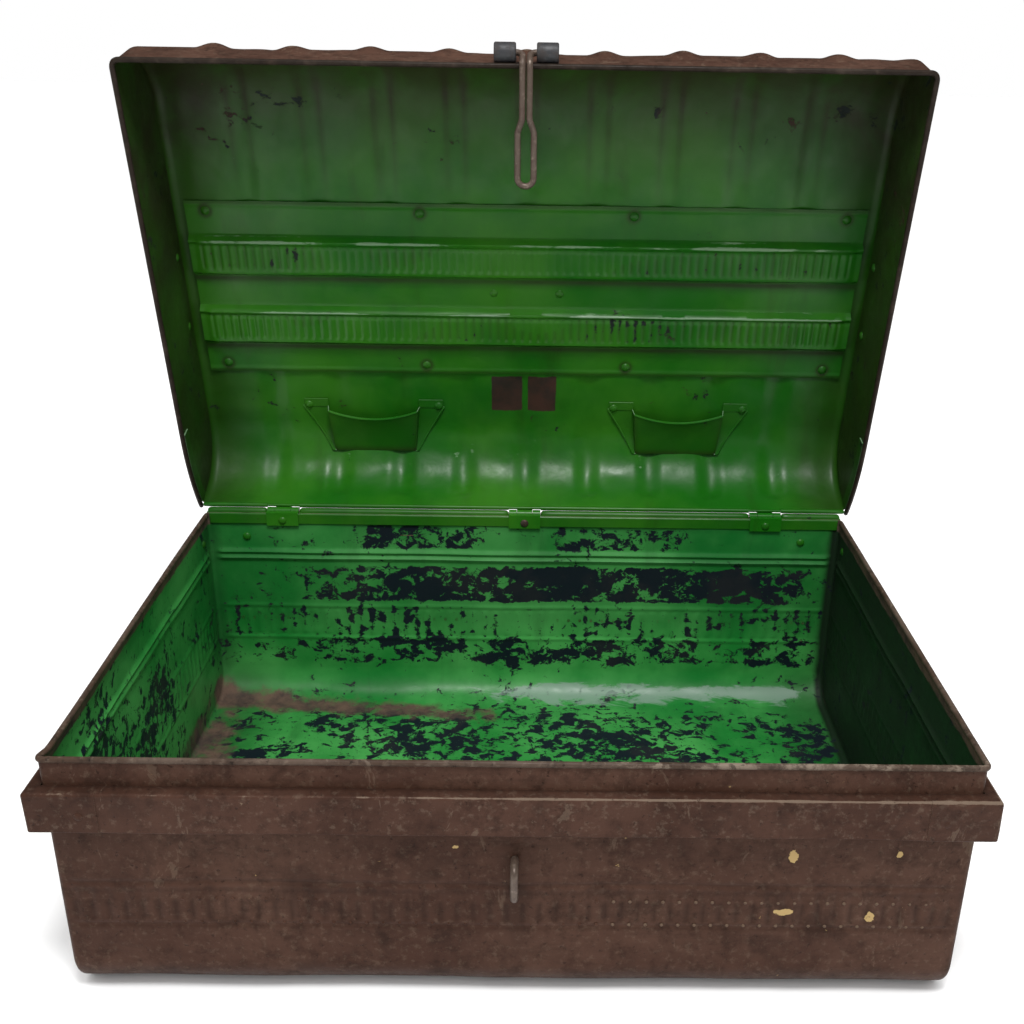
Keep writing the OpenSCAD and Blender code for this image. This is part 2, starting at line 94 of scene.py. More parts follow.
@dataclass(frozen=True)
class LidSize:
    """Sizes of the shut lid, in millimetres."""

    front: float = 214.9
    side: float = 317.9
    back: float = 210.0
    edge_z: float = 181.0
    back_z: float = 203.0
    crown: float = 274.0
    bend: float = 58.0
    fold: float = 7.0
    sheet: float = 0.8
    cut: float = 90.0
    rib_pitch: float = 62.5
    rib_w: float = 32.0
    rib_h: float = 3.5
    ribs: int = 9

    @property
    def bend_z(self) -> float:
        """Height of the centres of the two long bends."""
        return self.crown - self.bend

    @property
    def cut_y(self) -> float:
        """Depth at which the ends' cut-away begins."""
        return self.back - self.cut

    @property
    def cut_r(self) -> float:
        """Radius of the cut-away."""
        rise = 199.0 - self.edge_z
        return (self.cut**2 + rise**2) / (2 * rise)


@dataclass(frozen=True)
class HingeLine:
    """The lid's axis and its opening in the rest pose."""

    y: float = 214.8
    z: float = 200.0
    opened: float = 78.0
    xs: tuple[float, float, float] = (-238.0, 0.0, 238.0)
    notch: float = 15.7

    def swing(self, p: Array) -> Array:
        """Turns points of the shut lid to the rest pose.

        Args:
            p: Points or directions' end points, (..., 3), in millimetres.

        Returns:
            The same points in the rest pose.
        """
        a = math.radians(-self.opened)
        y, z = p[..., 1] - self.y, p[..., 2] - self.z
        out = p.copy()
        out[..., 1] = self.y + y * math.cos(a) - z * math.sin(a)
        out[..., 2] = self.z + y * math.sin(a) + z * math.cos(a)
        return out


BODY = BodySize()
BAND = BandSize()
LID = LidSize()
HINGE = HingeLine()


# ---------------------------------------------------------------- numbers


def smooth(low: float, high: float, x: Array) -> Array:
    """Smooth step from 0 at low to 1 at high."""
    t = np.clip((x - low) / (high - low), 0.0, 1.0)
    return t * t * (3 - 2 * t)


def hump(x: Array, width: float) -> Array:
    """Bell curve of height 1 and the given half width."""
    return np.exp(-((x / width) ** 2))


def plateau(x: Array, low: float, high: float, flank: float) -> Array:
    """1 between low and high, falling to 0 over a flank outside each end."""
    return smooth(low - flank, low, x) * (1 - smooth(high, high + flank, x))


def spread(low: float, high: float, step: float) -> list[float]:
    """Evenly spaced values from low to high, no further apart than step."""
    count = max(1, math.ceil(abs(high - low) / step))
    return [low + (high - low) * i / count for i in range(count + 1)]


def flutes(along: Array, pitch: float) -> Array:
    """Row of flutes, 0 between them and 1 in their middles."""
    return 0.5 - 0.5 * np.cos(2 * math.pi * along / pitch)


def deviate(share: Array) -> Array:
    """Turns shares of covered area into standard deviations of a bell curve.

    Args:
        share: Shares from 0 to 1.

    Returns:
        The deviations, held between -3 and 3.
    """
    z = np.linspace(-3.0, 3.0, 121)
    area = np.array([0.5 + 0.5 * math.erf(v / math.sqrt(2)) for v in z])
    return np.interp(share, area, z)


class Ripple:
    """Smooth waviness of old sheet, the same on every run."""

    def __init__(self, seed: int, wavelength: float, amplitude: float, waves: int = 16) -> None:
        """Draws the waves.

        Args:
            seed: Seed of the random draws.
            wavelength: Middle wavelength in millimetres.
            amplitude: Usual height of the waviness in millimetres.
            waves: Number of waves that are added up.
        """
        rng = np.random.default_rng(seed)
        k = rng.normal(size=(waves, 3))
        k /= np.linalg.norm(k, axis=1, keepdims=True)
        self.k = k * (2 * math.pi / wavelength) * rng.uniform(0.6, 1.5, (waves, 1))
        self.phase = rng.uniform(0, 2 * math.pi, waves)
        self.amplitude = amplitude * math.sqrt(2 / waves)

    def __call__(self, p: Array) -> Array:
        """Height of the waviness at points of shape (..., 3)."""
        return self.amplitude * np.sin(p @ self.k.T + self.phase).sum(-1)


# ---------------------------------------------------------------- shader nodes


class Paint:
    """Thin layer over a material's node tree."""

    def __init__(self, name: str) -> None:
        """Starts an empty material.

        Args:
            name: Name of the material.
        """
        self.material = bpy.data.materials.new(name)
        self.material.use_nodes = True
        self.tree = self.material.node_tree
        self.tree.nodes.clear()
        self.where = self.add("ShaderNodeTexCoord").outputs["Object"]

    def add(self, kind: str) -> bpy.types.Node:
        """Adds a node of the given type."""
        return self.tree.nodes.new(kind)

    def put(self, socket: Socket, value: Union[Socket, float, Colour]) -> None:
        """Links a socket to another or sets its constant.

        Args:
            socket: The input to feed.
            value: The output to link it to, or its constant.
        """
        if isinstance(value, bpy.types.NodeSocket):
            self.tree.links.new(value, socket)
        elif isinstance(value, tuple):
            socket.default_value = (*value, 1.0) if len(socket.default_value) == 4 else value
        else:
            socket.default_value = value

    def stretch(self, x: float, y: float, z: float) -> Socket:
        """Scales the object coordinates.

        Args:
            x: Scale along X.
            y: Scale along Y.
            z: Scale along Z.

        Returns:
            The scaled coordinates.
        """
        node = self.add("ShaderNodeMapping")
        self.put(node.inputs["Vector"], self.where)
        node.inputs["Scale"].default_value = (x, y, z)
        return node.outputs["Vector"]

    def noise(self, scale: float, detail: float = 4.0, rough: float = 0.55,
              distort: float = 0.0, where: Union[Socket, None] = None) -> Socket:
        """Adds fractal noise around 0.5.

        Args:
            scale: Features per metre.
            detail: Number of octaves.
            rough: Strength of the finer octaves.
            distort: Twist of the pattern.
            where: Coordinates, if not the object's own.

        Returns:
            The noise, mostly between 0.2 and 0.8.
        """
        node = self.add("ShaderNodeTexNoise")
        self.put(node.inputs["Vector"], where or self.where)
        self.put(node.inputs["Scale"], scale)
        self.put(node.inputs["Detail"], detail)
        self.put(node.inputs["Roughness"], rough)
        self.put(node.inputs["Distortion"], distort)
        return node.outputs["Fac"]

    def attribute(self, name: str) -> Socket:
        """Reads a value that is stored on the mesh.

        Args:
            name: Name of the value.

        Returns:
            The value.
        """
        node = self.add("ShaderNodeAttribute")
        node.attribute_name = name
        return node.outputs["Fac"]

    def math(self, operation: str, a: Union[Socket, float], b: Union[Socket, float] = 0.0) -> Socket:
        """Adds arithmetic on two values.

        Args:
            operation: Blender's name of the operation.
            a: First value.
            b: Second value.

        Returns:
            The result, not clamped.
        """
        node = self.add("ShaderNodeMath")
        node.operation = operation
        self.put(node.inputs[0], a)
        self.put(node.inputs[1], b)
        return node.outputs[0]

    def step(self, value: Socket, low: Union[Socket, float], high: Union[Socket, float],
             to_low: float = 0.0, to_high: float = 1.0) -> Socket:
        """Adds a smooth step.

        Args:
            value: The value to map.
            low: Where the step starts.
            high: Where the step ends.
            to_low: Result up to the start.
            to_high: Result past the end.

        Returns:
            The mapped value.
        """
        node = self.add("ShaderNodeMapRange")
        node.interpolation_type = "SMOOTHSTEP"
        self.put(node.inputs["Value"], value)
        self.put(node.inputs["From Min"], low)
        self.put(node.inputs["From Max"], high)
        self.put(node.inputs["To Min"], to_low)
        self.put(node.inputs["To Max"], to_high)
        return node.outputs["Result"]

    def mix(self, factor: Union[Socket, float], a: Union[Socket, Colour],
            b: Union[Socket, Colour]) -> Socket:
        """Blends two colours.

        Args:
            factor: Share of the second colour.
            a: First colour.
            b: Second colour.

        Returns:
            The blend.
        """
        node = self.add("ShaderNodeMix")
        node.data_type = "RGBA"
        self.put(node.inputs["Factor"], factor)
        self.put(node.inputs["A"], a)
        self.put(node.inputs["B"], b)
        return next(s for s in node.outputs if s.type == "RGBA")

    def below(self, value: Socket, limit: Union[Socket, float], soft: float) -> Socket:
        """1 where a value is under a limit, 0 above it."""
        return self.step(self.math("SUBTRACT", value, limit), -soft, soft, 1.0, 0.0)

    def surface(self, colour: Socket, roughness: Union[Socket, float],
                metallic: Union[Socket, float], height: Socket, depth: float,
                shine: float = 0.5) -> bpy.types.Material:
        """Closes the tree with a principled surface.

        Args:
            colour: Base colour.
            roughness: Roughness of the surface.
            metallic: Share of bare metal.
            height: Relief, 0 to 1.
            depth: Depth of that relief in metres.
            shine: Strength of the surface's reflection.

        Returns:
            The finished material.
        """
        bump = self.add("ShaderNodeBump")
        self.put(bump.inputs["Height"], height)
        self.put(bump.inputs["Strength"], 1.0)
        self.put(bump.inputs["Distance"], depth)
        bsdf = self.add("ShaderNodeBsdfPrincipled")
        self.put(bsdf.inputs["Base Color"], colour)
        self.put(bsdf.inputs["Roughness"], roughness)
        self.put(bsdf.inputs["Metallic"], metallic)
        self.put(bsdf.inputs["Normal"], bump.outputs["Normal"])
        self.put(bsdf.inputs["Specular IOR Level"], shine)
        out = self.add("ShaderNodeOutputMaterial")
        self.put(out.inputs["Surface"], bsdf.outputs["BSDF"])
        return self.material


@dataclass(frozen=True)
class GreenEnamel:
    """Green enamel that has flaked to dark primer, with dirt and painted shade, stains, and rubbed places
    and painted highlights.
    """

    name: str
    base: Colour
    light: Colour
    grime_and_shade: Colour
    primer: Colour
    stain: Colour
    rubbed_and_sheen: Colour
    roughness: float
    rusty: float
    edge: float

    def build(self) -> bpy.types.Material:
        """Makes the material.

        Returns:
            A material that reads the mesh's chip, dirt-and-shade, bare and wear-and-sheen values.
        """
        p = Paint(self.name)
        chip, dirt = p.attribute("chip"), p.attribute("dirt")
        tone = p.step(p.noise(7.0, 5.0, 0.6), 0.35, 0.68)
        colour = p.mix(tone, self.base, self.light)
        streak = p.noise(3.0, 6.0, 0.62, 0.4, p.stretch(9.0, 1.6, 1.6))
        colour = p.mix(p.step(streak, 0.52, 0.75, 0.0, 0.3), colour, self.grime_and_shade)
        cloud = p.noise(11.0, 8.0, 0.66, 0.3)
        soil_and_shade = p.math("MULTIPLY", dirt, p.step(cloud, 0.3, 0.6, 0.72, 1.0))
        # the grime colour darkens by the dirt value, which in places is painted shade
        colour = p.mix(soil_and_shade, colour, self.grime_and_shade)
        fine = p.noise(92.0, 8.0, 0.68, 0.45, p.stretch(0.8, 1.0, 1.0))
        broad = p.noise(15.0, 5.0, 0.6, 0.5, p.stretch(0.7, 0.9, 1.2))
        paint = p.math("ADD", p.math("MULTIPLY", fine, 0.62), p.math("MULTIPLY", broad, 0.38))
        limit = p.math("ADD", p.math("MULTIPLY", chip, 0.064), 0.5 - 3 * 0.064)
        flake = p.below(paint, limit, 0.006)
        rim = p.below(paint, p.math("ADD", limit, 0.014), 0.012)
        speck_limit = p.step(chip, 0.4, 3.6, 0.26, 0.4)
        flake = p.math("MAXIMUM", flake, p.below(p.noise(150.0, 4.0, 0.7), speck_limit, 0.012))
        rust = p.step(p.noise(16.0, 4.0, 0.6), 0.5, 0.62, 0.0, self.rusty)
        colour = p.mix(p.math("MULTIPLY", rim, 0.4), colour, self.grime_and_shade)
        colour = p.mix(flake, colour, p.mix(rust, self.primer, self.stain))
        ragged = p.noise(40.0, 8.0, 0.7)
        scuff_and_sheen_noise = p.noise(26.0, 9.0, 0.72, 0.6, p.stretch(0.7, 2.2, 2.2))
        # the rubbed colour pales by the wear value, which in places is a painted highlight
        worn_and_sheen = p.below(scuff_and_sheen_noise, p.step(p.attribute("wear"), 0.0, 1.0, 0.22, 0.66), 0.06)
        colour = p.mix(p.math("MULTIPLY", worn_and_sheen, 0.8), colour, self.rubbed_and_sheen)
        bare = p.below(p.noise(42.0, 8.0, 0.66), p.step(p.attribute("bare"), 0.0, 1.0, 0.1, 0.85), self.edge)
        colour = p.mix(bare, colour, p.mix(p.step(ragged, 0.35, 0.7, 0.0, 0.7), self.stain, self.primer))
        rough = p.math("ADD", p.step(p.noise(26.0, 6.0, 0.7), 0.3, 0.7, 0.0, 0.2), self.roughness)
        rough = p.math("ADD", rough, p.math("MULTIPLY", flake, 0.2))
        rough = p.math("ADD", rough, p.math("MULTIPLY", soil_and_shade, 0.2))
        rough = p.math("ADD", rough, p.math("MULTIPLY", bare, 0.35))
        peel = p.noise(240.0, 3.0, 0.5)
        wave = p.noise(38.0, 3.0, 0.5)
        height = p.math("ADD", p.math("MULTIPLY", peel, 0.12), p.math("MULTIPLY", wave, 0.75))
        height = p.math("SUBTRACT", height, p.math("MULTIPLY", flake, 0.22))
        return p.surface(colour, rough, 0.0, height, 0.0006, 0.3)


@dataclass(frozen=True)
class BrownEnamel:
    """Dull brown enamel with rust, rubbed edges, painted highlights and pale flecks."""

    name: str
    base: Colour
    light: Colour
    dark: Colour
    rubbed_and_sheen: Colour
    fleck: Colour
    roughness: float

    def build(self) -> bpy.types.Material:
        """Makes the material.

        Returns:
            A material that reads the mesh's wear-and-sheen, dirt and bare values.
        """
        p = Paint(self.name)
        wear, dirt = p.attribute("wear"), p.attribute("dirt")
        tone = p.step(p.noise(9.0, 7.0, 0.66, 0.4), 0.36, 0.66)
        colour = p.mix(tone, self.base, self.light)
        mottle = p.noise(70.0, 8.0, 0.75)
        colour = p.mix(p.step(mottle, 0.46, 0.68, 0.0, 0.55), colour, self.dark)
        grain = p.noise(190.0, 6.0, 0.7)
        colour = p.mix(p.step(grain, 0.52, 0.66, 0.0, 0.3), colour, self.rubbed_and_sheen)
        brush = p.noise(12.0, 6.0, 0.7, 0.0, p.stretch(0.6, 0.6, 8.0))
        colour = p.mix(p.step(brush, 0.5, 0.75, 0.0, 0.28), colour, self.dark)
        blotch = p.noise(24.0, 9.0, 0.72, 0.5)
        colour = p.mix(p.step(blotch, 0.5, 0.64, 0.0, 0.34), colour, self.dark)
        scratch = p.below(p.noise(30.0, 6.0, 0.7, 1.2, p.stretch(1.0, 1.0, 0.35)), 0.36, 0.012)
        colour = p.mix(p.math("MULTIPLY", scratch, 0.35), colour, self.rubbed_and_sheen)
        soil_and_shade = p.math("MULTIPLY", dirt, p.step(p.noise(60.0, 5.0, 0.7), 0.25, 0.55, 0.6, 1.0))
        colour = p.mix(soil_and_shade, colour, self.dark)
        grit_and_sheen_noise = p.noise(45.0, 9.0, 0.72, 0.2)
        # the rubbed colour pales by the wear value, which in places is a painted highlight
        worn_and_sheen = p.below(grit_and_sheen_noise, p.step(wear, 0.0, 1.0, 0.2, 0.66), 0.05)
        colour = p.mix(p.math("MULTIPLY", worn_and_sheen, 0.75), colour, self.rubbed_and_sheen)
        flecks = p.below(p.noise(90.0, 5.0, 0.68), 0.285, 0.01)
        blot = p.below(p.noise(150.0, 6.0, 0.7), p.step(p.attribute("bare"), 0.0, 1.0, 0.1, 0.72), 0.03)
        flecks = p.math("MAXIMUM", p.math("MULTIPLY", flecks, 0.5), blot)
        colour = p.mix(flecks, colour, self.fleck)
        pits = p.below(p.noise(210.0, 4.0, 0.7), 0.36, 0.03)
        colour = p.mix(p.math("MULTIPLY", pits, 0.6), colour, self.dark)
        rough = p.math("ADD", p.step(mottle, 0.3, 0.7, -0.08, 0.12), self.roughness)
        height = p.math("ADD", p.math("MULTIPLY", mottle, 0.5),
                        p.math("MULTIPLY", p.noise(30.0, 3.0, 0.5), 0.5))
        height = p.math("SUBTRACT", height, p.math("MULTIPLY", pits, 0.3))
        return p.surface(colour, rough, 0.0, height, 0.0005, 0.07)


@dataclass(frozen=True)
class OldIron:
    """Bare or thinly painted iron with rust blooms."""

    name: str
    base: Colour
    rust: Colour
    bright: Colour
    roughness: float
    metallic: float

    def build(self) -> bpy.types.Material:
        """Makes the material.

        Returns:
            The finished material.
        """
        p = Paint(self.name)
        bloom = p.step(p.noise(120.0, 7.0, 0.7, 0.3), 0.44, 0.62)
        colour = p.mix(bloom, self.base, self.rust)
        rub = p.step(p.noise(220.0, 5.0, 0.6), 0.56, 0.72, 0.0, 0.6)
        colour = p.mix(rub, colour, self.bright)
        metal = p.step(bloom, 0.0, 1.0, self.metallic, 0.0)
        rough = p.step(bloom, 0.0, 1.0, self.roughness, min(0.9, self.roughness + 0.25))
        height = p.math("ADD", p.math("MULTIPLY", p.noise(420.0, 5.0, 0.7), 0.6),
                        p.math("MULTIPLY", bloom, 0.4))
        return p.surface(colour, rough, metal, height, 0.00025)


class Look(Enum):
    """The finishes of the trunk."""

    # GREEN: its rubbed colour also paints highlights on the lid's back bend and the panel's bands, and its
    # grime colour also paints shade towards the lid's front edge and under the bands
    GREEN = GreenEnamel("green_enamel", (0.006, 0.11, 0.004), (0.03, 0.165, 0.008),
                        (0.016, 0.018, 0.003), (0.006, 0.012, 0.01), (0.05, 0.02, 0.013),
                        (0.2, 0.32, 0.19), 0.26, 0.7, 0.05)
    # BODY_GREEN: its rubbed colour also paints a highlight on the floor's back bend, and its grime colour
    # also paints shade over the right end and a shadow under the back strip
    BODY_GREEN = GreenEnamel("green_enamel_body", (0.008, 0.175, 0.025), (0.065, 0.34, 0.075),
                             (0.005, 0.018, 0.006), (0.003, 0.008, 0.014), (0.12, 0.075, 0.052),
                             (0.18, 0.27, 0.21), 0.28, 0.06, 0.14)
    # BROWN: its rubbed colour also paints highlights on the pips
    BROWN = BrownEnamel("brown_enamel", (0.05, 0.023, 0.015), (0.072, 0.036, 0.024),
                        (0.018, 0.009, 0.006), (0.13, 0.09, 0.062), (0.4, 0.28, 0.12), 0.46)
    # LEDGE: its rubbed colour also paints a highlight along the band's top outer fold
    LEDGE = BrownEnamel("brown_band", (0.044, 0.02, 0.013), (0.064, 0.031, 0.021),
                        (0.02, 0.01, 0.007), (0.15, 0.11, 0.08), (0.22, 0.16, 0.11), 0.44)
    EDGE = BrownEnamel("worn_edge", (0.055, 0.034, 0.024), (0.09, 0.065, 0.05),
                       (0.012, 0.009, 0.007), (0.19, 0.15, 0.115), (0.22, 0.18, 0.14), 0.36)
    FITTING = OldIron("old_fitting", (0.05, 0.034, 0.026), (0.085, 0.04, 0.022),
                      (0.14, 0.11, 0.09), 0.45, 0.35)
    WIRE = OldIron("bare_wire", (0.1, 0.072, 0.055), (0.06, 0.035, 0.024), (0.24, 0.19, 0.15),
                   0.38, 0.4)
    BARREL = OldIron("barrel_iron", (0.026, 0.027, 0.03), (0.03, 0.024, 0.022),
                     (0.06, 0.06, 0.064), 0.5, 0.1)
    PIN = OldIron("dull_steel", (0.22, 0.2, 0.18), (0.12, 0.08, 0.06), (0.3, 0.28, 0.26), 0.38, 0.8)


class Palette:
    """Makes each finish once."""

    def __init__(self) -> None:
        """Starts with no finish made."""
        self._made: dict[Look, bpy.types.Material] = {}

    def __getitem__(self, look: Look) -> bpy.types.Material:
        """Makes a finish on first use.

        Args:
            look: The finish.

        Returns:
            Its material.
        """
        if look not in self._made:
            self._made[look] = look.value.build()
        return self._made[look]


PALETTE = Palette()


# ---------------------------------------------------------------- meshes


@dataclass
class Piece:
    """A mesh in the making, in millimetres, with values per vertex for its finish."""

    name: str
    verts: list[Array]
    faces: list[Array]
    skins: list[Array]
    marks: dict[str, list[Array]]

    @classmethod
    def start(cls, name: str) -> "Piece":
        """An empty piece."""
        return cls(name, [], [], [], {key: [] for key in ("chip", "dirt", "wear", "bare")})

    def append(self, verts: Array, faces: Array, skin: Union[int, Array] = 0,
               **marks: Union[float, Array]) -> None:
        """Adds vertices and four-sided faces.

        Args:
            verts: Points (n, 3).
            faces: Indices (m, 4) into those points; a triangle repeats its last one.
            skin: Material index of the faces.
            **marks: Chip, dirt-and-shade, wear-and-sheen or bare values of the vertices, 0 to 1.
        """
        base = sum(len(v) for v in self.verts)
        self.verts.append(verts)
        self.faces.append(faces + base)
        self.skins.append(np.broadcast_to(np.asarray(skin), (len(faces),)))
        for key, store in self.marks.items():
            store.append(np.broadcast_to(np.asarray(marks.get(key, 0.0), float), (len(verts),)))

    def build(self, looks: Sequence[Look], lid: bool = False, auto: float = 40.0) -> bpy.types.Object:
        """Makes the Blender object.

        Args:
            looks: One finish per material index.
            lid: True for a piece of the lid, which is drawn shut and swung open.
            auto: Angle in degrees under which neighbouring faces shade as one surface.

        Returns:
            The object, linked to the scene.
        """
        verts = np.concatenate(self.verts)
        if lid:
            verts = HINGE.swing(verts)
        faces = np.concatenate(self.faces)
        loops = [f[:3].tolist() if f[3] == f[2] else f.tolist() for f in faces]
        mesh = bpy.data.meshes.new(self.name)
        mesh.from_pydata((verts * MM).tolist(), [], loops)
        mesh.polygons.foreach_set("material_index", np.concatenate(self.skins).astype(np.int32))
        for key, store in self.marks.items():
            value = np.concatenate(store)
            value = deviate(value) + 3.0 if key == "chip" else value
            layer = mesh.attributes.new(key, "FLOAT", "POINT")
            layer.data.foreach_set("value", value.astype(np.float32))
        mesh.update()
        for look in looks:
            mesh.materials.append(PALETTE[look])
        obj = bpy.data.objects.new(self.name, mesh)
        bpy.context.scene.collection.objects.link(obj)
        mesh.set_sharp_from_angle(angle=math.radians(auto))
        return obj


def grid_faces(rows: int, cols: int, loop_cols: bool = False) -> Array:
    """Joins a grid of points, stored row by row, with four-sided faces.

    Args:
        rows: Number of rows.
        cols: Points in a row.
        loop_cols: True if each row closes on itself.

    Returns:
        Indices (m, 4) of the faces' corners.
    """
    c1 = cols if loop_cols else cols - 1
    i, j = np.meshgrid(np.arange(rows - 1), np.arange(c1), indexing="ij")
    k = (j + 1) % cols
    return np.stack([i * cols + j, i * cols + k, (i + 1) * cols + k, (i + 1) * cols + j],
                    -1).reshape(-1, 4)


def sheet(piece: Piece, points: Array, normals: Array, press: Array, thick: float,
          inner: Union[Marks, None] = None, outer: Union[Marks, None] = None,
          skins: tuple[int, int, int] = (0, 1, 2), shallow: Union[Array, float] = 0.0) -> None:
    """Adds a pressed sheet: an outer skin, an inner skin and the edge between them.

    Args:
        piece: The piece to add to.
        points: Grid of points (r, c, 3) of the outer skin before pressing.
        normals: Outward directions at the same points.
        press: How far each point is pushed outward.
        thick: Thickness of the sheet.
        inner: Chip, dirt-and-shade and wear-and-sheen of the inner skin.
        outer: Chip, dirt-and-shade and wear-and-sheen of the outer skin.
        skins: Material indices of the outer skin, the inner skin and the edge.
        shallow: How much less the inner skin is pushed than the outer one.
    """
    rows, cols = points.shape[:2]
    outside = points + normals * press[..., None]
    inside = outside - normals * (thick + np.broadcast_to(shallow, press.shape))[..., None]
    faces = grid_faces(rows, cols)
    a, b, d = outside[0, 0], outside[0, 1], outside[1, 0]
    if np.dot(np.cross(b - a, d - a), normals[0, 0]) < 0:
        faces = faces[:, ::-1]
    flat = {k: np.broadcast_to(v, (rows, cols)).reshape(-1) for k, v in (outer or {}).items()}
    piece.append(outside.reshape(-1, 3), faces, skins[0], **flat)
    flat = {k: np.broadcast_to(v, (rows, cols)).reshape(-1) for k, v in (inner or {}).items()}
    piece.append(inside.reshape(-1, 3), faces[:, ::-1], skins[1], **flat)
    ids = np.arange(rows * cols).reshape(rows, cols)
    ring = np.concatenate([ids[0, :], ids[1:, -1], ids[-1, -2::-1], ids[-2:0:-1, 0]])
    ring = np.append(ring, ring[0])
    o, n = outside.reshape(-1, 3)[ring], inside.reshape(-1, 3)[ring]
    count = len(ring)
    piece.append(np.concatenate([o, n]), grid_faces(2, count), skins[2], wear=0.7)


def end_wall(x: float, ys: Array, low: Array, high: Array, steps: Sequence[float]) -> tuple[Array, Array]:
    """Lays a grid of points over an upright end wall.

    Args:
        x: Place of the wall, which faces away from the middle.
        ys: Depths of the columns.
        low: Height of the foot of each column.
        high: Height of the top of each column.
        steps: Shares of the height at which the points lie.

    Returns:
        Points (columns, steps, 3) and outward directions of the same shape.
    """
    z = low[:, None] + (high - low)[:, None] * np.array(steps)[None, :]
    points = np.stack([np.full_like(z, x), np.broadcast_to(ys[:, None], z.shape), z], -1)
    normals = np.zeros_like(points)
    normals[..., 0] = math.copysign(1.0, x)
    return points, normals


def refine(path: Array, step: float) -> Array:
    """Adds points to a path.

    Args:
        path: Points (n, 3).
        step: Largest distance that is left between two points.

    Returns:
        The denser path.
    """
    dense = [path[0]]
    for a, b in zip(path, path[1:]):
        for t in spread(0.0, 1.0, step / max(step, float(np.linalg.norm(b - a))))[1:]:
            dense.append(a + (b - a) * t)
    return np.array(dense)


def round_corners(points: Sequence[Sequence[float]], radius: float, steps: int = 6) -> Array:
    """Rounds the inner corners of a path.

    Args:
        points: Corners of the path.
        radius: Radius of the bends, shortened where a side is too short for it.
        steps: Number of pieces in each bend.

    Returns:
        Points along the rounded path.
    """
    pts = [np.asarray(p, float) for p in points]
    out = [pts[0]]
    for a, b, c in zip(pts, pts[1:], pts[2:]):
        u, v = a - b, c - b
        lu, lv = np.linalg.norm(u), np.linalg.norm(v)
        u, v = u / lu, v / lv
        half = math.acos(float(np.clip(np.dot(u, v), -1, 1))) / 2
        if half > math.radians(89):
            out.append(b)
            continue
        cut = min(radius / math.tan(half), 0.48 * lu, 0.48 * lv)
        for i in range(steps + 1):
            t = i / steps
            out.append((1 - t) ** 2 * (b + u * cut) + 2 * t * (1 - t) * b + t * t * (b + v * cut))
    out.append(pts[-1])
    return np.array(out)


def tube(piece: Piece, path: Array, radius: Union[float, Array], sides: int = 14, skin: int = 0,
         closed: bool = False, **marks: Union[float, Array]) -> None:
    """Adds a round bar along a path, with domed ends.

    Args:
        piece: The piece to add to.
        path: Points (n, 3) along the bar.
        radius: Radius, or one per point.
        sides: Number of sides round the bar.
        skin: Material index.
        closed: True if the path's end meets its start.
        **marks: Chip, dirt-and-shade or wear-and-sheen; an array has one value per path point.
    """
    path = np.asarray(path, float)
    radii = np.broadcast_to(np.asarray(radius, float), (len(path),)).copy()
    if not closed:
        first, last = path[0] - path[1], path[-1] - path[-2]
        first, last = first / np.linalg.norm(first), last / np.linalg.norm(last)
        angles = [math.radians(a) for a in (15, 40, 65, 88)]
        head = [path[0] - first * radii[0] * (1 - math.sin(a)) for a in angles[::-1]]
        tail = [path[-1] - last * radii[-1] * (1 - math.sin(a)) for a in angles]
        r0, r1 = radii[0], radii[-1]
        keep = slice(1, -1)
        marks = {k: (np.concatenate([[v[0]] * 4, v[keep], [v[-1]] * 4]) if np.ndim(v) else v)
                 for k, v in marks.items()}
        path = np.concatenate([head, path[keep], tail])
        radii = np.concatenate([[r0 * math.cos(a) for a in angles[::-1]], radii[keep],
                                [r1 * math.cos(a) for a in angles]])
    tangent = np.gradient(path, axis=0)
    if closed:
        tangent = np.roll(path, -1, 0) - np.roll(path, 1, 0)
    tangent /= np.linalg.norm(tangent, axis=1, keepdims=True)
    up = np.array([0.0, 0.0, 1.0]) if abs(tangent[0][2]) < 0.9 else np.array([1.0, 0.0, 0.0])
    frames = []
    for t in tangent:
        up = up - t * np.dot(up, t)
        up /= np.linalg.norm(up)
        frames.append((up, np.cross(t, up)))
    a = np.arange(sides) * 2 * math.pi / sides
    rings = np.array([p + r * (np.outer(np.cos(a), u) + np.outer(np.sin(a), v))
                      for p, r, (u, v) in zip(path, radii, frames)])
    rows = len(path)
    faces = grid_faces(rows, sides, True)
    if closed:
        j = np.arange(sides)
        k = (j + 1) % sides
        last = (rows - 1) * sides
        faces = np.concatenate([faces, np.stack([last + j, last + k, k, j], -1)])
    else:
        for start in (0, (rows - 1) * sides):
            j = np.arange(1, sides - 1)
            fan = np.stack([np.full_like(j, start), start + j, start + j + 1, start + j + 1], -1)
            faces = np.concatenate([faces, fan if start else fan[:, [0, 2, 1, 1]]])
    flat = {k: np.repeat(np.asarray(v, float), sides) if np.ndim(v) else v
            for k, v in marks.items()}
    piece.append(rings.reshape(-1, 3), faces[:, ::-1], skin, **flat)


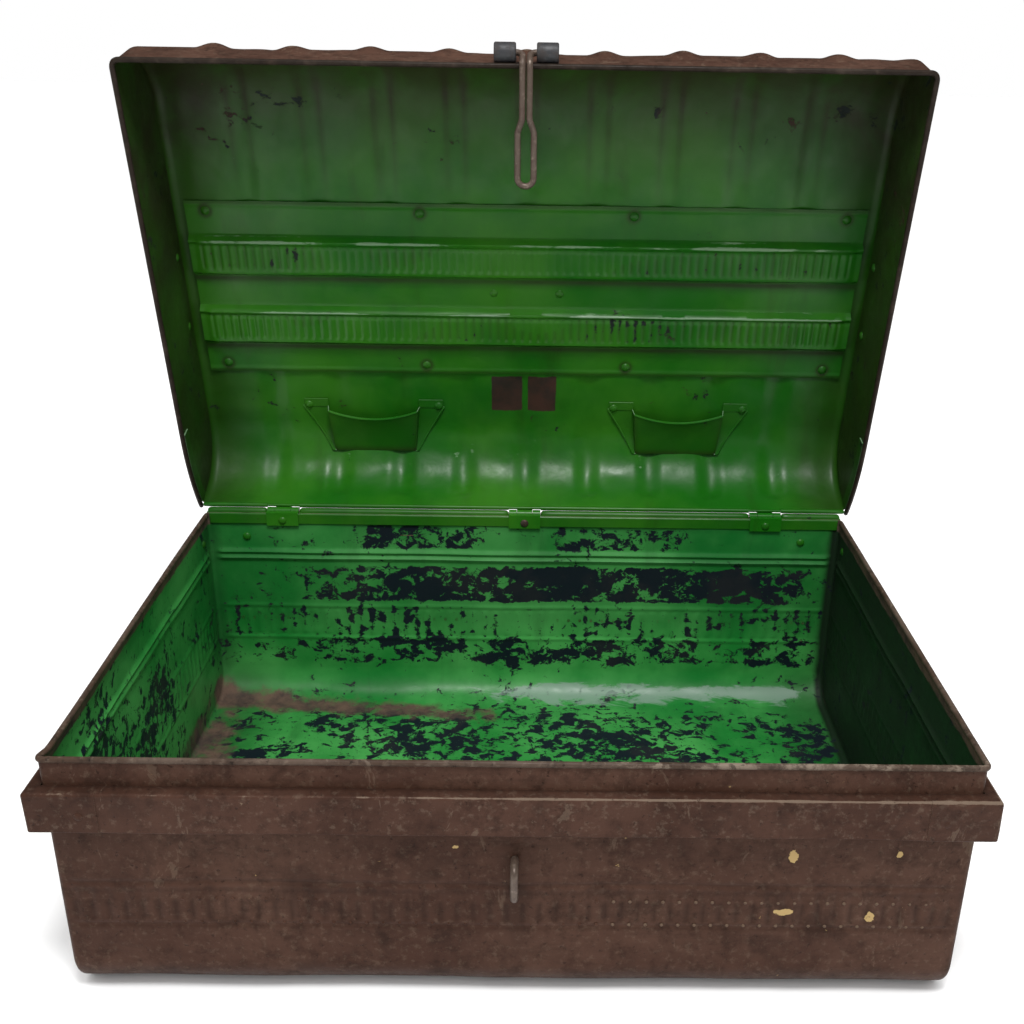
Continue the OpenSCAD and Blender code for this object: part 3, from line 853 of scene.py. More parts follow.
def dome(piece: Piece, centre: Sequence[float], axis: Sequence[float], radius: float,
         height: float, skin: int = 0, sides: int = 24, **marks: float) -> None:
    """Adds a rivet head with a soft foot.

    Args:
        piece: The piece to add to.
        centre: Middle of the head's foot.
        axis: Direction in which the head stands out.
        radius: Radius of the foot.
        height: Height of the head.
        skin: Material index.
        sides: Number of sides round the head.
        **marks: Chip, dirt-and-shade or wear-and-sheen.
    """
    n = np.asarray(axis, float)
    n /= np.linalg.norm(n)
    side = np.cross(n, [0.3, 0.5, 0.81])
    side /= np.linalg.norm(side)
    other = np.cross(n, side)
    a = np.arange(sides) * 2 * math.pi / sides
    ring = np.outer(np.cos(a), side) + np.outer(np.sin(a), other)
    shape = [(1.0, -0.25), (1.0, 0.08), (0.93, 0.3), (0.8, 0.55), (0.6, 0.8), (0.35, 0.95), (0.08, 1.0)]
    c = np.asarray(centre, float)
    rings = np.array([c + ring * radius * r + n * height * h for r, h in shape])
    faces = grid_faces(len(shape), sides, True)
    top = (len(shape) - 1) * sides
    j = np.arange(1, sides - 1)
    fan = np.stack([np.full_like(j, top), top + j, top + j + 1, top + j + 1], -1)
    piece.append(rings.reshape(-1, 3), np.concatenate([faces, fan]), skin, **marks)


def corner_key(axis: int, end: int, i: int, j: int) -> tuple[int, ...]:
    """Names a block's corner.

    Args:
        axis: Number of an axis.
        end: 0 or 1, the corner's place along that axis.
        i: Its place along the next axis.
        j: Its place along the axis after that.

    Returns:
        Its places along X, Y and Z.
    """
    key = [0, 0, 0]
    key[axis], key[(axis + 1) % 3], key[(axis + 2) % 3] = end, i, j
    return tuple(key)


def slab(piece: Piece, low: Sequence[float], high: Sequence[float], soft: float = 0.4,
         skin: int = 0, **marks: float) -> None:
    """Adds a block with softened edges.

    Args:
        piece: The piece to add to.
        low: Lowest corner.
        high: Highest corner.
        soft: Width of the bevel.
        skin: Material index.
        **marks: Chip, dirt-and-shade or wear-and-sheen.
    """
    lo, hi = np.asarray(low, float), np.asarray(high, float)
    s = min(soft, 0.45 * float((hi - lo).min()))
    verts, index = [], {}
    for corner in np.ndindex(2, 2, 2):
        for axis in range(3):
            p = np.array([hi[i] - s if corner[i] else lo[i] + s for i in range(3)])
            p[axis] = hi[axis] if corner[axis] else lo[axis]
            index[corner, axis] = len(verts)
            verts.append(p)
    faces = []
    for axis in range(3):
        b, c = (axis + 1) % 3, (axis + 2) % 3
        for end in (0, 1):
            quad = [index[corner_key(axis, end, i, j), axis] for i, j in ((0, 0), (1, 0), (1, 1), (0, 1))]
            faces.append(quad if end else quad[::-1])
        for i, j in np.ndindex(2, 2):
            near, far = corner_key(axis, 0, i, j), corner_key(axis, 1, i, j)
            quad = [index[near, b], index[far, b], index[far, c], index[near, c]]
            faces.append(quad if i == j else quad[::-1])
    for corner in np.ndindex(2, 2, 2):
        tri = [index[corner, 0], index[corner, 1], index[corner, 2]]
        if sum(corner) % 2 == 0:
            tri = tri[::-1]
        faces.append([*tri, tri[-1]])
    piece.append(np.array(verts), np.array(faces), skin, **marks)


@dataclass
class Profile:
    """A side view as points and outward directions, in depth and height."""

    points: Array
    normals: Array

    @classmethod
    def trace(cls, parts: Sequence[tuple], side: float) -> "Profile":
        """Samples lines and arcs.

        Args:
            parts: ("line", start, end, step) or ("arc", centre, radius, from, to, step).
            side: 1 if the outside is to the left of the path, -1 if it is to the right.

        Returns:
            The sampled profile.
        """
        pts, nrm = [], []
        for part in parts:
            if part[0] == "line":
                p, q = np.array(part[1], float), np.array(part[2], float)
                t = (q - p) / np.linalg.norm(q - p)
                n = np.array([-t[1], t[0]]) * side
                for s in spread(0.0, 1.0, part[3] / np.linalg.norm(q - p)):
                    pts.append(p + (q - p) * s)
                    nrm.append(n)
            else:
                c = np.array(part[1], float)
                for a in spread(part[3], part[4], part[5]):
                    d = np.array([math.cos(math.radians(a)), math.sin(math.radians(a))])
                    pts.append(c + part[2] * d)
                    nrm.append(d)
            if len(pts) > 1:
                keep = [0] + [i for i in range(1, len(pts))
                              if np.linalg.norm(pts[i] - pts[i - 1]) > 1e-6]
                pts, nrm = [pts[i] for i in keep], [nrm[i] for i in keep]
        return cls(np.array(pts), np.array(nrm))

    def wrap(self, half: float, fold: float, xs: Sequence[float]) -> tuple[Array, Array]:
        """Sweeps the profile over the width, with its ends folded round.

        Args:
            half: Half of the width.
            fold: Radius of the fold at each end.
            xs: Positions across the flat part.

        Returns:
            Points (rows, columns, 3) and outward directions of the same shape.
        """
        angles = [math.radians(a) for a in (15, 30, 45, 60, 75, 90)]
        cols = [(-(half - fold), -a) for a in angles[::-1]]
        cols += [(x, 0.0) for x in xs]
        cols += [(half - fold, a) for a in angles]
        base = np.concatenate([np.zeros((len(self.points), 1)), self.points], 1)
        n = np.concatenate([np.zeros((len(self.normals), 1)), self.normals], 1)
        ex = np.array([1.0, 0.0, 0.0])
        points, normals = [], []
        for x, a in cols:
            d = n * math.cos(a) + ex * math.sin(a)
            points.append(base - n * fold + d * fold + ex * x)
            normals.append(d)
        return np.stack(points, 1), np.stack(normals, 1)


def stand(obj: bpy.types.Object, body: str, slot: str, *nodes: str) -> None:
    """Attaches a piece to its moving body and hides the solids that it stands for.

    Args:
        obj: The piece.
        body: The moving body that it belongs to.
        slot: The record's material slot; not used.
        *nodes: The solids that it stands for.
    """
    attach(obj, body)
    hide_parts(*nodes)
    LOG.info("built %s", obj.name)


# ---------------------------------------------------------------- body


class Body:
    """The tub: one sheet bent round, two end panels and the wired edge."""

    def __init__(self, size: BodySize) -> None:
        """Takes the sizes and draws the waviness of the sheet.

        Args:
            size: Sizes of the body.
        """
        self.size = size
        self.broad = Ripple(3, 150.0, 0.45)
        self.fine = Ripple(8, 38.0, 0.1)

    @staticmethod
    def on_front(p: Array) -> Array:
        """1 on the front wall, 0 elsewhere."""
        return 1 - smooth(-209, -200, p[..., 1])

    @staticmethod
    def on_back(p: Array) -> Array:
        """1 on the back wall, 0 elsewhere."""
        return smooth(195, 206, p[..., 1])

    def pressing(self, p: Array, along: Array, span: float) -> Array:
        """Beads, flutes and waviness of a wall.

        Args:
            p: Points of the wall.
            along: Position along the wall.
            span: Half of the wall's length.

        Returns:
            How far each point is pushed outward.
        """
        s = self.size
        z = p[..., 2]
        inside = plateau(along, -span + 13, span - 13, 9)
        beads = -2.3 * (hump(z - s.bead_low, 2.3) + hump(z - s.bead_high, 2.3))
        rails = -0.9 * (hump(z - s.flute_low + 4, 1.8) + hump(z - s.flute_high - 4, 1.8))
        wave = flutes(along, s.flute_pitch)
        dents = -0.8 * wave**2 * plateau(z, s.flute_low + 2, s.flute_high - 2, 3)
        walls = smooth(30, 45, z)
        return ((beads + rails + dents) * walls + self.broad(p) + self.fine(p)) * inside

    def front_marks(self, p: Array) -> Array:
        """Presses the crease and the small dents round the staple.

        Args:
            p: Points of the wrap.

        Returns:
            How far each point is pushed outward.
        """
        x, z = p[..., 0], p[..., 2]
        crease = -1.3 * hump(z - 134, 2.6) * plateau(x, -11, 13, 5)
        stem = -1.1 * hump(x - 1, 3.0) * plateau(z, 120, 133, 4)
        puff = 0.8 * hump(np.hypot(x, (z - 108) * 0.5), 16)
        dents = -1.4 * hump(np.hypot(x + 205, z - 118), 26) - 1.0 * hump(np.hypot(x - 170, z - 40), 22)
        return (crease + stem + puff + dents) * self.on_front(p)

    def grime_and_shade(self, p: Array, along: Array) -> Array:
        """Darkens the flutes, the rails, the place round the staple and the foot, outside.

        Args:
            p: Points of the wall.
            along: Position along the wall.

        Returns:
            How far each point is darkened.
        """
        x, z = p[..., 0], p[..., 2]
        strokes = 0.55 * flutes(along, self.size.flute_pitch) ** 3 * plateau(z, 68, 82, 3)
        line = 0.3 * hump(z - 92, 1.6) + 0.3 * hump(z - 61, 1.6) + 0.2 * hump(z - 99, 2.0)
        smear = 0.45 * hump(np.hypot(x / 11, (z - 112) / 24), 1.0) + 0.2 * hump(x - 3, 9) * (z < 100)
        foot = 0.35 * (1 - smooth(3, 26, z))
        return np.clip(strokes + line + smear * self.on_front(p) + foot, 0, 1)

    def flecks(self, p: Array) -> Array:
        """Places blots of old ochre paint on the front.

        Args:
            p: Points of the wrap.

        Returns:
            Cover of each point.
        """
        x, z = p[..., 0], p[..., 2]
        spots = ((190, 126, 5, 8), (187, 77, 9, 4), (-40, 131, 3, 2), (248, 73, 4, 6), (262, 128, 3, 4))
        value = np.zeros_like(x)
        for sx, sz, w, h in spots:
            value = np.maximum(value, hump(np.hypot((x - sx) / w, (z - sz) / h), 1.0))
        return value * self.on_front(p)

    def lost_paint(self, p: Array) -> Array:
        """Flakes the green paint off the inside.

        Args:
            p: Points of the inner skin.

        Returns:
            Share of the paint that is lost at each point.
        """
        x, y, z = p[..., 0], p[..., 1], p[..., 2]
        back = self.on_back(p)
        floor = 1 - smooth(16, 34, z)
        across = np.interp(x, [-300, -235, -190, -120, 60, 200, 245, 300],
                           [0.1, 0.26, 0.56, 0.72, 0.72, 0.68, 0.46, 0.3])
        high = plateau(z, 108, 141, 5) * across
        low = plateau(z, 38, 60, 9) * np.interp(x, [-300, -230, -150, 0, 120, 280],
                                                [0.1, 0.42, 0.48, 0.46, 0.56, 0.36])
        ribbed = plateau(z, 66, 98, 5) * (0.1 + 0.3 * flutes(x, self.size.flute_pitch) ** 2)
        patch = np.maximum(plateau(x, -150, -60, 40), plateau(x, 40, 150, 30))
        top = plateau(z, 166, 186, 5) * (0.05 + 0.38 * patch)
        wall = np.maximum.reduce([high, low, ribbed, top, np.full_like(z, 0.06)])
        ends = smooth(300, 311, np.abs(x)) * (1 - back)
        left = 0.16 + 0.34 * hump(np.hypot((y + 40) / 90, (z - 90) / 60), 1.0)
        side = np.where(x < 0, left, 0.12)
        bottom = 0.34 + 0.1 * plateau(x, -120, 120, 90) - 0.25 * smooth(150, 185, y)
        value = back * wall + (1 - back) * floor * bottom
        front = 1 - smooth(-206, -195, y)
        value = value + front * (1 - floor) * 0.3
        return np.clip(value * (1 - ends) + ends * side, 0, 1)

    @staticmethod
    def stained(p: Array) -> Array:
        """Stains the back of the floor, its left edge and the ends below the rim.

        Args:
            p: Points of the inner skin.

        Returns:
            Share of each point that is stained brown.
        """
        x, y, z = p[..., 0], p[..., 1], p[..., 2]
        floor = 1 - smooth(14, 44, z)
        line = hump((y - 176 + 0.10 * (x + 200)) / 26, 1.0) * np.interp(
            x, [-310, -200, -60, 40, 200], [0.9, 0.85, 0.75, 0.25, 0.1])
        corner = hump(np.hypot((x + 300) / 34, (y - 90) / 110), 1.0) * 0.85
        rim = smooth(183, 191, z) * smooth(306, 311, np.abs(x)) * 0.75
        return np.clip(floor * np.maximum(line, corner) * 0.8 + rim, 0, 1)

    @staticmethod
    def rubbed_and_sheen(p: Array) -> Array:
        """Pales the floor's back bend: rubbed paint with a painted highlight.

        Args:
            p: Points of the inner skin.

        Returns:
            Wear and painted highlight of each point.
        """
        x, y, z = p[..., 0], p[..., 1], p[..., 2]
        along = np.interp(x, [-240, -60, 30, 160, 270, 305], [0.2, 0.5, 0.85, 0.7, 0.8, 0.3])
        return along * hump((z - 7) / 10, 1.0) * smooth(165, 185, y)

    def soil_and_shade(self, p: Array) -> Array:
        """Darkens the floor's sides, the back corners, the upper back wall and the left end a little; paints
        shade over the right end and a shadow line under the back strip.

        Args:
            p: Points of the inner skin.

        Returns:
            Dirt and painted shade of each point.
        """
        x, y, z = p[..., 0], p[..., 1], p[..., 2]
        # painted shade: the right end is darkened all over
        right = smooth(296, 311, x) * 1.3
        left = smooth(300, 311, -x) * 0.25
        corners = 0.6 * smooth(285, 312, np.abs(x)) * smooth(150, 208, y)
        wall = 0.3 * smooth(60, 90, z) * self.on_back(p)
        floor = np.maximum(wall, (1 - smooth(12, 40, z)) * (0.1 + 0.5 * smooth(230, 300, np.abs(x))))
        # painted shadow: a dark line on the back wall just under the back strip
        strip_shadow = 0.5 * hump(z - 187, 3.0) * self.on_back(p)
        return np.maximum.reduce([right, left, corners, floor, strip_shadow])

    def wrap(self) -> None:
        """Builds the front wall, the floor and the back wall."""
        s = self.size
        b, fine = s.half_d, 1.6
        profile = Profile.trace([
            ("line", (-b, s.roll_z), (-b, 165), 3.0),
            ("line", (-b, 165), (-b, 146), fine),
            ("line", (-b, 146), (-b, 104), 3.0),
            ("line", (-b, 104), (-b, 58), fine),
            ("line", (-b, 58), (-b, s.bend), 4.0),
            ("arc", (s.bend - b, s.bend), s.bend, 180, 270, 5.0),
            ("line", (s.bend - b, 0), (b - s.bend, 0), 6.0),
            ("arc", (b - s.bend, s.bend), s.bend, 270, 360, 5.0),
            ("line", (b, s.bend), (b, 58), 4.0),
            ("line", (b, 58), (b, 104), fine),
            ("line", (b, 104), (b, 146), 3.0),
            ("line", (b, 146), (b, 165), fine),
            ("line", (b, 165), (b, s.height), 3.0),
        ], -1.0)
        xs = spread(-(s.half_w - s.edge), s.half_w - s.edge, 1.9)
        points, normals = profile.wrap(s.half_w, s.edge, xs)
        press = self.pressing(points, points[..., 0], s.half_w) + self.front_marks(points)
        z = points[..., 2]
        press = np.minimum(press * (1 - 0.8 * smooth(186, 196, z)), 0.9 * (z > 3))
        floor = 1 - smooth(0, 14, z)
        press = press * (1 - floor) + floor * np.minimum(self.fine(points) * 2 + 0.3, 0.0)
        piece = Piece.start("body_wrap_sheet")
        wear = 0.35 * (1 - smooth(0, 26, z)) + 0.3 * smooth(307, 313, abs(points[..., 0]))
        sheet(piece, points, normals, press, s.sheet, self.inside(points),
              {"dirt": self.grime_and_shade(points, points[..., 0]), "wear": wear, "bare": self.flecks(points)})
        self.pips(piece)
        obj = piece.build([Look.BROWN, Look.BODY_GREEN, Look.EDGE])
        stand(obj, "trunk", "painted_shell", "body_wrap")

    def inside(self, p: Array) -> Marks:
        """Marks of the inner skin."""
        return {"chip": self.lost_paint(p), "dirt": self.soil_and_shade(p), "bare": self.stained(p),
                "wear": self.rubbed_and_sheen(p)}

    def pips(self, piece: Piece) -> None:
        """Adds the two rows of small pips between the flutes of the long walls."""
        s = self.size
        count = int((s.half_w - 22) / s.flute_pitch)
        for i in range(-count, count + 1):
            x = i * s.flute_pitch
            for y, side in ((-s.half_d, -1.0), (s.half_d, 1.0)):
                for z in (65.0, 85.0):
                    # pips right of x=60 are made pale: wear and a painted highlight
                    wear = 0.85 if x > 60 else 0.25
                    dome(piece, (x, y - side * 0.5, z), (0, side, 0), 1.3, 0.95, sides=8, wear=wear)

    def end(self, sign: float, name: str) -> None:
        """Builds one end panel.

        Args:
            sign: 1 for the right end, -1 for the left.
            name: Suffix of the piece and of its solid.
        """
        s = self.size
        lap = s.sheet / 2
        reach = s.half_d - s.edge + lap
        ys = np.array(spread(-reach, reach, 2.0))
        over = np.clip(np.abs(ys) - (s.half_d - s.bend), 0, None)
        r = s.bend - s.edge + lap
        low = np.where(over > 0, s.bend - np.sqrt(np.clip(r * r - over**2, 0, None)), s.edge - lap)
        high = np.full_like(low, s.roll_z)
        points, normals = end_wall(sign * s.half_w, ys, low, high, spread(0.0, 1.0, 0.011))
        y, z = points[..., 1], points[..., 2]
        press = self.pressing(points, y, s.half_d)
        press = np.minimum(press * (1 - 0.8 * smooth(186, 196, z)), 0.6)
        edge = np.minimum(reach - np.abs(y), z - low[:, None])
        press = press * smooth(0, 10, edge)
        if sign < 0:
            press = press - self.lean(y) * smooth(s.ledge_z, s.height, z)
        piece = Piece.start("body_end_sheet_" + name)
        sheet(piece, points, normals, press, s.sheet, self.inside(points),
              {"dirt": self.grime_and_shade(points, y), "wear": 0.25 * (1 - smooth(0, 26, z))})
        obj = piece.build([Look.BROWN, Look.BODY_GREEN, Look.EDGE])
        stand(obj, "trunk", "painted_shell", "body_end_" + name)

    @staticmethod
    def lean(y: Array) -> Array:
        """How far the left end's neck has been bent inward."""
        return 3.2 * (1 - smooth(-190, 150, y)) * smooth(-210, -196, y)

    def rim(self) -> None:
        """Builds the wired edge round the front and the ends."""
        s = self.size
        x, y = s.half_w - s.sheet / 2, s.half_d - s.sheet / 2
        corners = [(-x, s.half_d - 0.8, s.roll_z), (-x, -y, s.roll_z), (x, -y, s.roll_z),
                   (x, s.half_d - 0.8, s.roll_z)]
        path = refine(round_corners(corners, 5.0, 8), 6.0)
        left = path[:, 0] < -s.half_w + 3
        path[:, 0] += np.where(left, self.lean(path[:, 1]), 0.0)
        wobble = Ripple(21, 60.0, 0.12)
        path[:, 2] += np.minimum(wobble(path), 0.0)
        wear = 0.25 + 0.3 * (path[:, 1] < -200) * smooth(-60, 120, path[:, 0])
        piece = Piece.start("body_rim_roll_bar")
        tube(piece, path, s.roll, 14, wear=wear)
        obj = piece.build([Look.EDGE])
        stand(obj, "trunk", "worn_edge", "body_rim_roll")

    def back_strip(self) -> None:
        """Builds the folded strip along the top of the back wall."""
        piece = Piece.start("back_rim_fold")
        y = self.size.half_d - 0.8
        slab(piece, (-309.8, y - 1.6, 189), (309.8, y, 200), 0.7, chip=0.03, dirt=0.2)
        obj = piece.build([Look.GREEN])
        stand(obj, "trunk", "green_trim", "back_rim_strip")

    def back_roll(self) -> None:
        """Builds the back wall's curled edge between the hinges."""
        piece = Piece.start("body_back_curl")
        end = self.size.half_w - self.size.sheet / 2
        notches = [x + side * HINGE.notch for x in HINGE.xs for side in (-1.0, 1.0)]
        stops = [-end, *notches, end]
        for a, b in zip(stops[::2], stops[1::2]):
            path = np.array([(x, HINGE.y, HINGE.z) for x in spread(a, b, 8.0)])
            tube(piece, path, 3.7, 16, dirt=0.25, chip=0.05)
            slab(piece, (a, self.size.half_d - 0.1, 199.2), (b, HINGE.y, 200.0), 0.2, dirt=0.3)
        obj = piece.build([Look.GREEN])
        stand(obj, "trunk", "worn_edge", "body_back_roll")

    def build(self) -> None:
        """Builds every piece of the tub."""
        self.wrap()
        self.end(-1.0, "left")
        self.end(1.0, "right")
        self.rim()
        self.back_strip()
        self.back_roll()


class Bands:
    """The hollow band below the neck, in four lengths."""

    def __init__(self, body: BodySize, size: BandSize) -> None:
        """Takes the sizes and draws the waviness of the band.

        Args:
            body: Sizes of the body.
            size: Sizes of the band.
        """
        self.body = body
        self.size = size
        self.wave = Ripple(31, 120.0, 0.3)

    def section(self) -> tuple[Array, Array]:
        """Draws the cross-section.

        Returns:
            Distances out and heights (n, 2), and outward directions (n, 2).
        """
        s, top = self.size, self.body.ledge_z
        low, r = top - s.height, s.fold
        pts: list[tuple[float, float, float, float]] = []
        for o in spread(0.0, s.out - r, 1.2):
            pts.append((o, top, 0.0, 1.0))
        for a in spread(75, 0, 15):
            c, d = math.cos(math.radians(a)), math.sin(math.radians(a))
            pts.append((s.out - r + r * c, top - r + r * d, c, d))
        for z in spread(top - r - 2.5, low + 2.5, 2.6):
            pts.append((s.out, z, 1.0, 0.0))
        for a in spread(0, -75, 15):
            c, d = math.cos(math.radians(a)), math.sin(math.radians(a))
            pts.append((s.out - 1.6 + 1.6 * c, low + 1.6 + 1.6 * d, c, d))
        for o in spread(s.out - 1.6, 0.0, 2.0):
            pts.append((o, low, 0.0, -1.0))
        arr = np.array(pts)
        return arr[:, :2], arr[:, 2:]

    def sweep(self, name: str, path: Array, outward: Array, node: str, lift: float) -> None:
        """Builds one length of the band.

        Args:
            name: Name of the piece.
            path: Plan points (n, 2) on the body's wall.
            outward: Plan directions (n, 2) away from the wall.
            node: The solid it stands for.
            lift: How far it stands proud of the nominal face.
        """
        sec, nrm = self.section()
        points = np.zeros((len(path), len(sec), 3))
        normals = np.zeros_like(points)
        points[..., :2] = path[:, None, :] + outward[:, None, :] * sec[None, :, :1]
        points[..., 2] = sec[None, :, 1]
        normals[..., :2] = outward[:, None, :] * nrm[None, :, :1]
        normals[..., 2] = nrm[None, :, 1]
        s = self.size
        face = smooth(3, 8, sec[:, 0])[None, :]
        press = np.minimum(self.wave(points) - 0.35 + lift, lift) * face
        top = (sec[:, 1] > self.body.ledge_z - 0.6)[None, :]
        # painted highlight: a pale line along the band's top outer fold, stronger towards the right
        rim = hump(np.hypot(sec[:, 0] - s.out + 1.2, sec[:, 1] - self.body.ledge_z + 0.6), 1.6)[None, :]
        rubbed_and_sheen = smooth(-160, 60, points[..., 0])
        wear = np.where(top, 0.12, 0.15) + rim * (0.35 + 0.5 * rubbed_and_sheen)
        wear = wear + 0.2 * hump(sec[:, 1] - (self.body.ledge_z - 32), 2.0)[None, :]
        dirt = (0.35 + 0.4 * hump(sec[:, 0] - 0.5, 2.0))[None, :] * top * (1 - rim)
        piece = Piece.start(name)
        wear = np.broadcast_to(wear, points.shape[:2])
        sheet(piece, points, normals, press, self.body.sheet, outer={"wear": wear, "dirt": dirt},
              skins=(0, 0, 0))
        if node in ("band_left", "band_right"):
            side = 1.0 if node == "band_right" else -1.0
            for front in (-1.0, 1.0):
                dome(piece, (side * 287, front * 219.6, 160), (0, front, 0), 3.0, 0.9, wear=0.3)
        obj = piece.build([Look.LEDGE], auto=50)
        stand(obj, "trunk", "painted_band", node)

    def build(self) -> None:
        """Builds the four lengths."""
        b, s = self.body, self.size
        split = b.half_w + s.out - s.returned
        xs = np.array(spread(-split, split, 6.0))
        for sign, name in ((-1.0, "front"), (1.0, "back")):
            path = np.stack([xs, np.full_like(xs, sign * b.half_d)], -1)
            outward = np.tile([0.0, sign], (len(xs), 1))
            self.sweep(f"band_{name}_channel", path, outward, "band_" + name, -0.35)
        for side, name in ((-1.0, "left"), (1.0, "right")):
            r = 1.8
            pts, dirs = [], []
            for x in spread(split, b.half_w - 1.0, 6.0):
                pts.append((x, -b.half_d))
                dirs.append((0.0, -1.0))
            for a in spread(-90, 0, 15):
                c, d = math.cos(math.radians(a)), math.sin(math.radians(a))
                pts.append((b.half_w, -b.half_d))
                dirs.append((1 - (r - r * c) / s.out, -1 + (r + r * d) / s.out))
            for y in spread(1.0 - b.half_d, 0.0, 6.0):
                pts.append((b.half_w, y))
                dirs.append((1.0, 0.0))
            pts += [(x, -y) for x, y in pts[-2::-1]]
            dirs += [(c, -d) for c, d in dirs[-2::-1]]
            path, outward = np.array(pts), np.array(dirs)
            path[:, 0] *= side
            outward[:, 0] *= side
            self.sweep(f"band_{name}_channel", path, outward, "band_" + name, 0.0)


# ---------------------------------------------------------------- lid


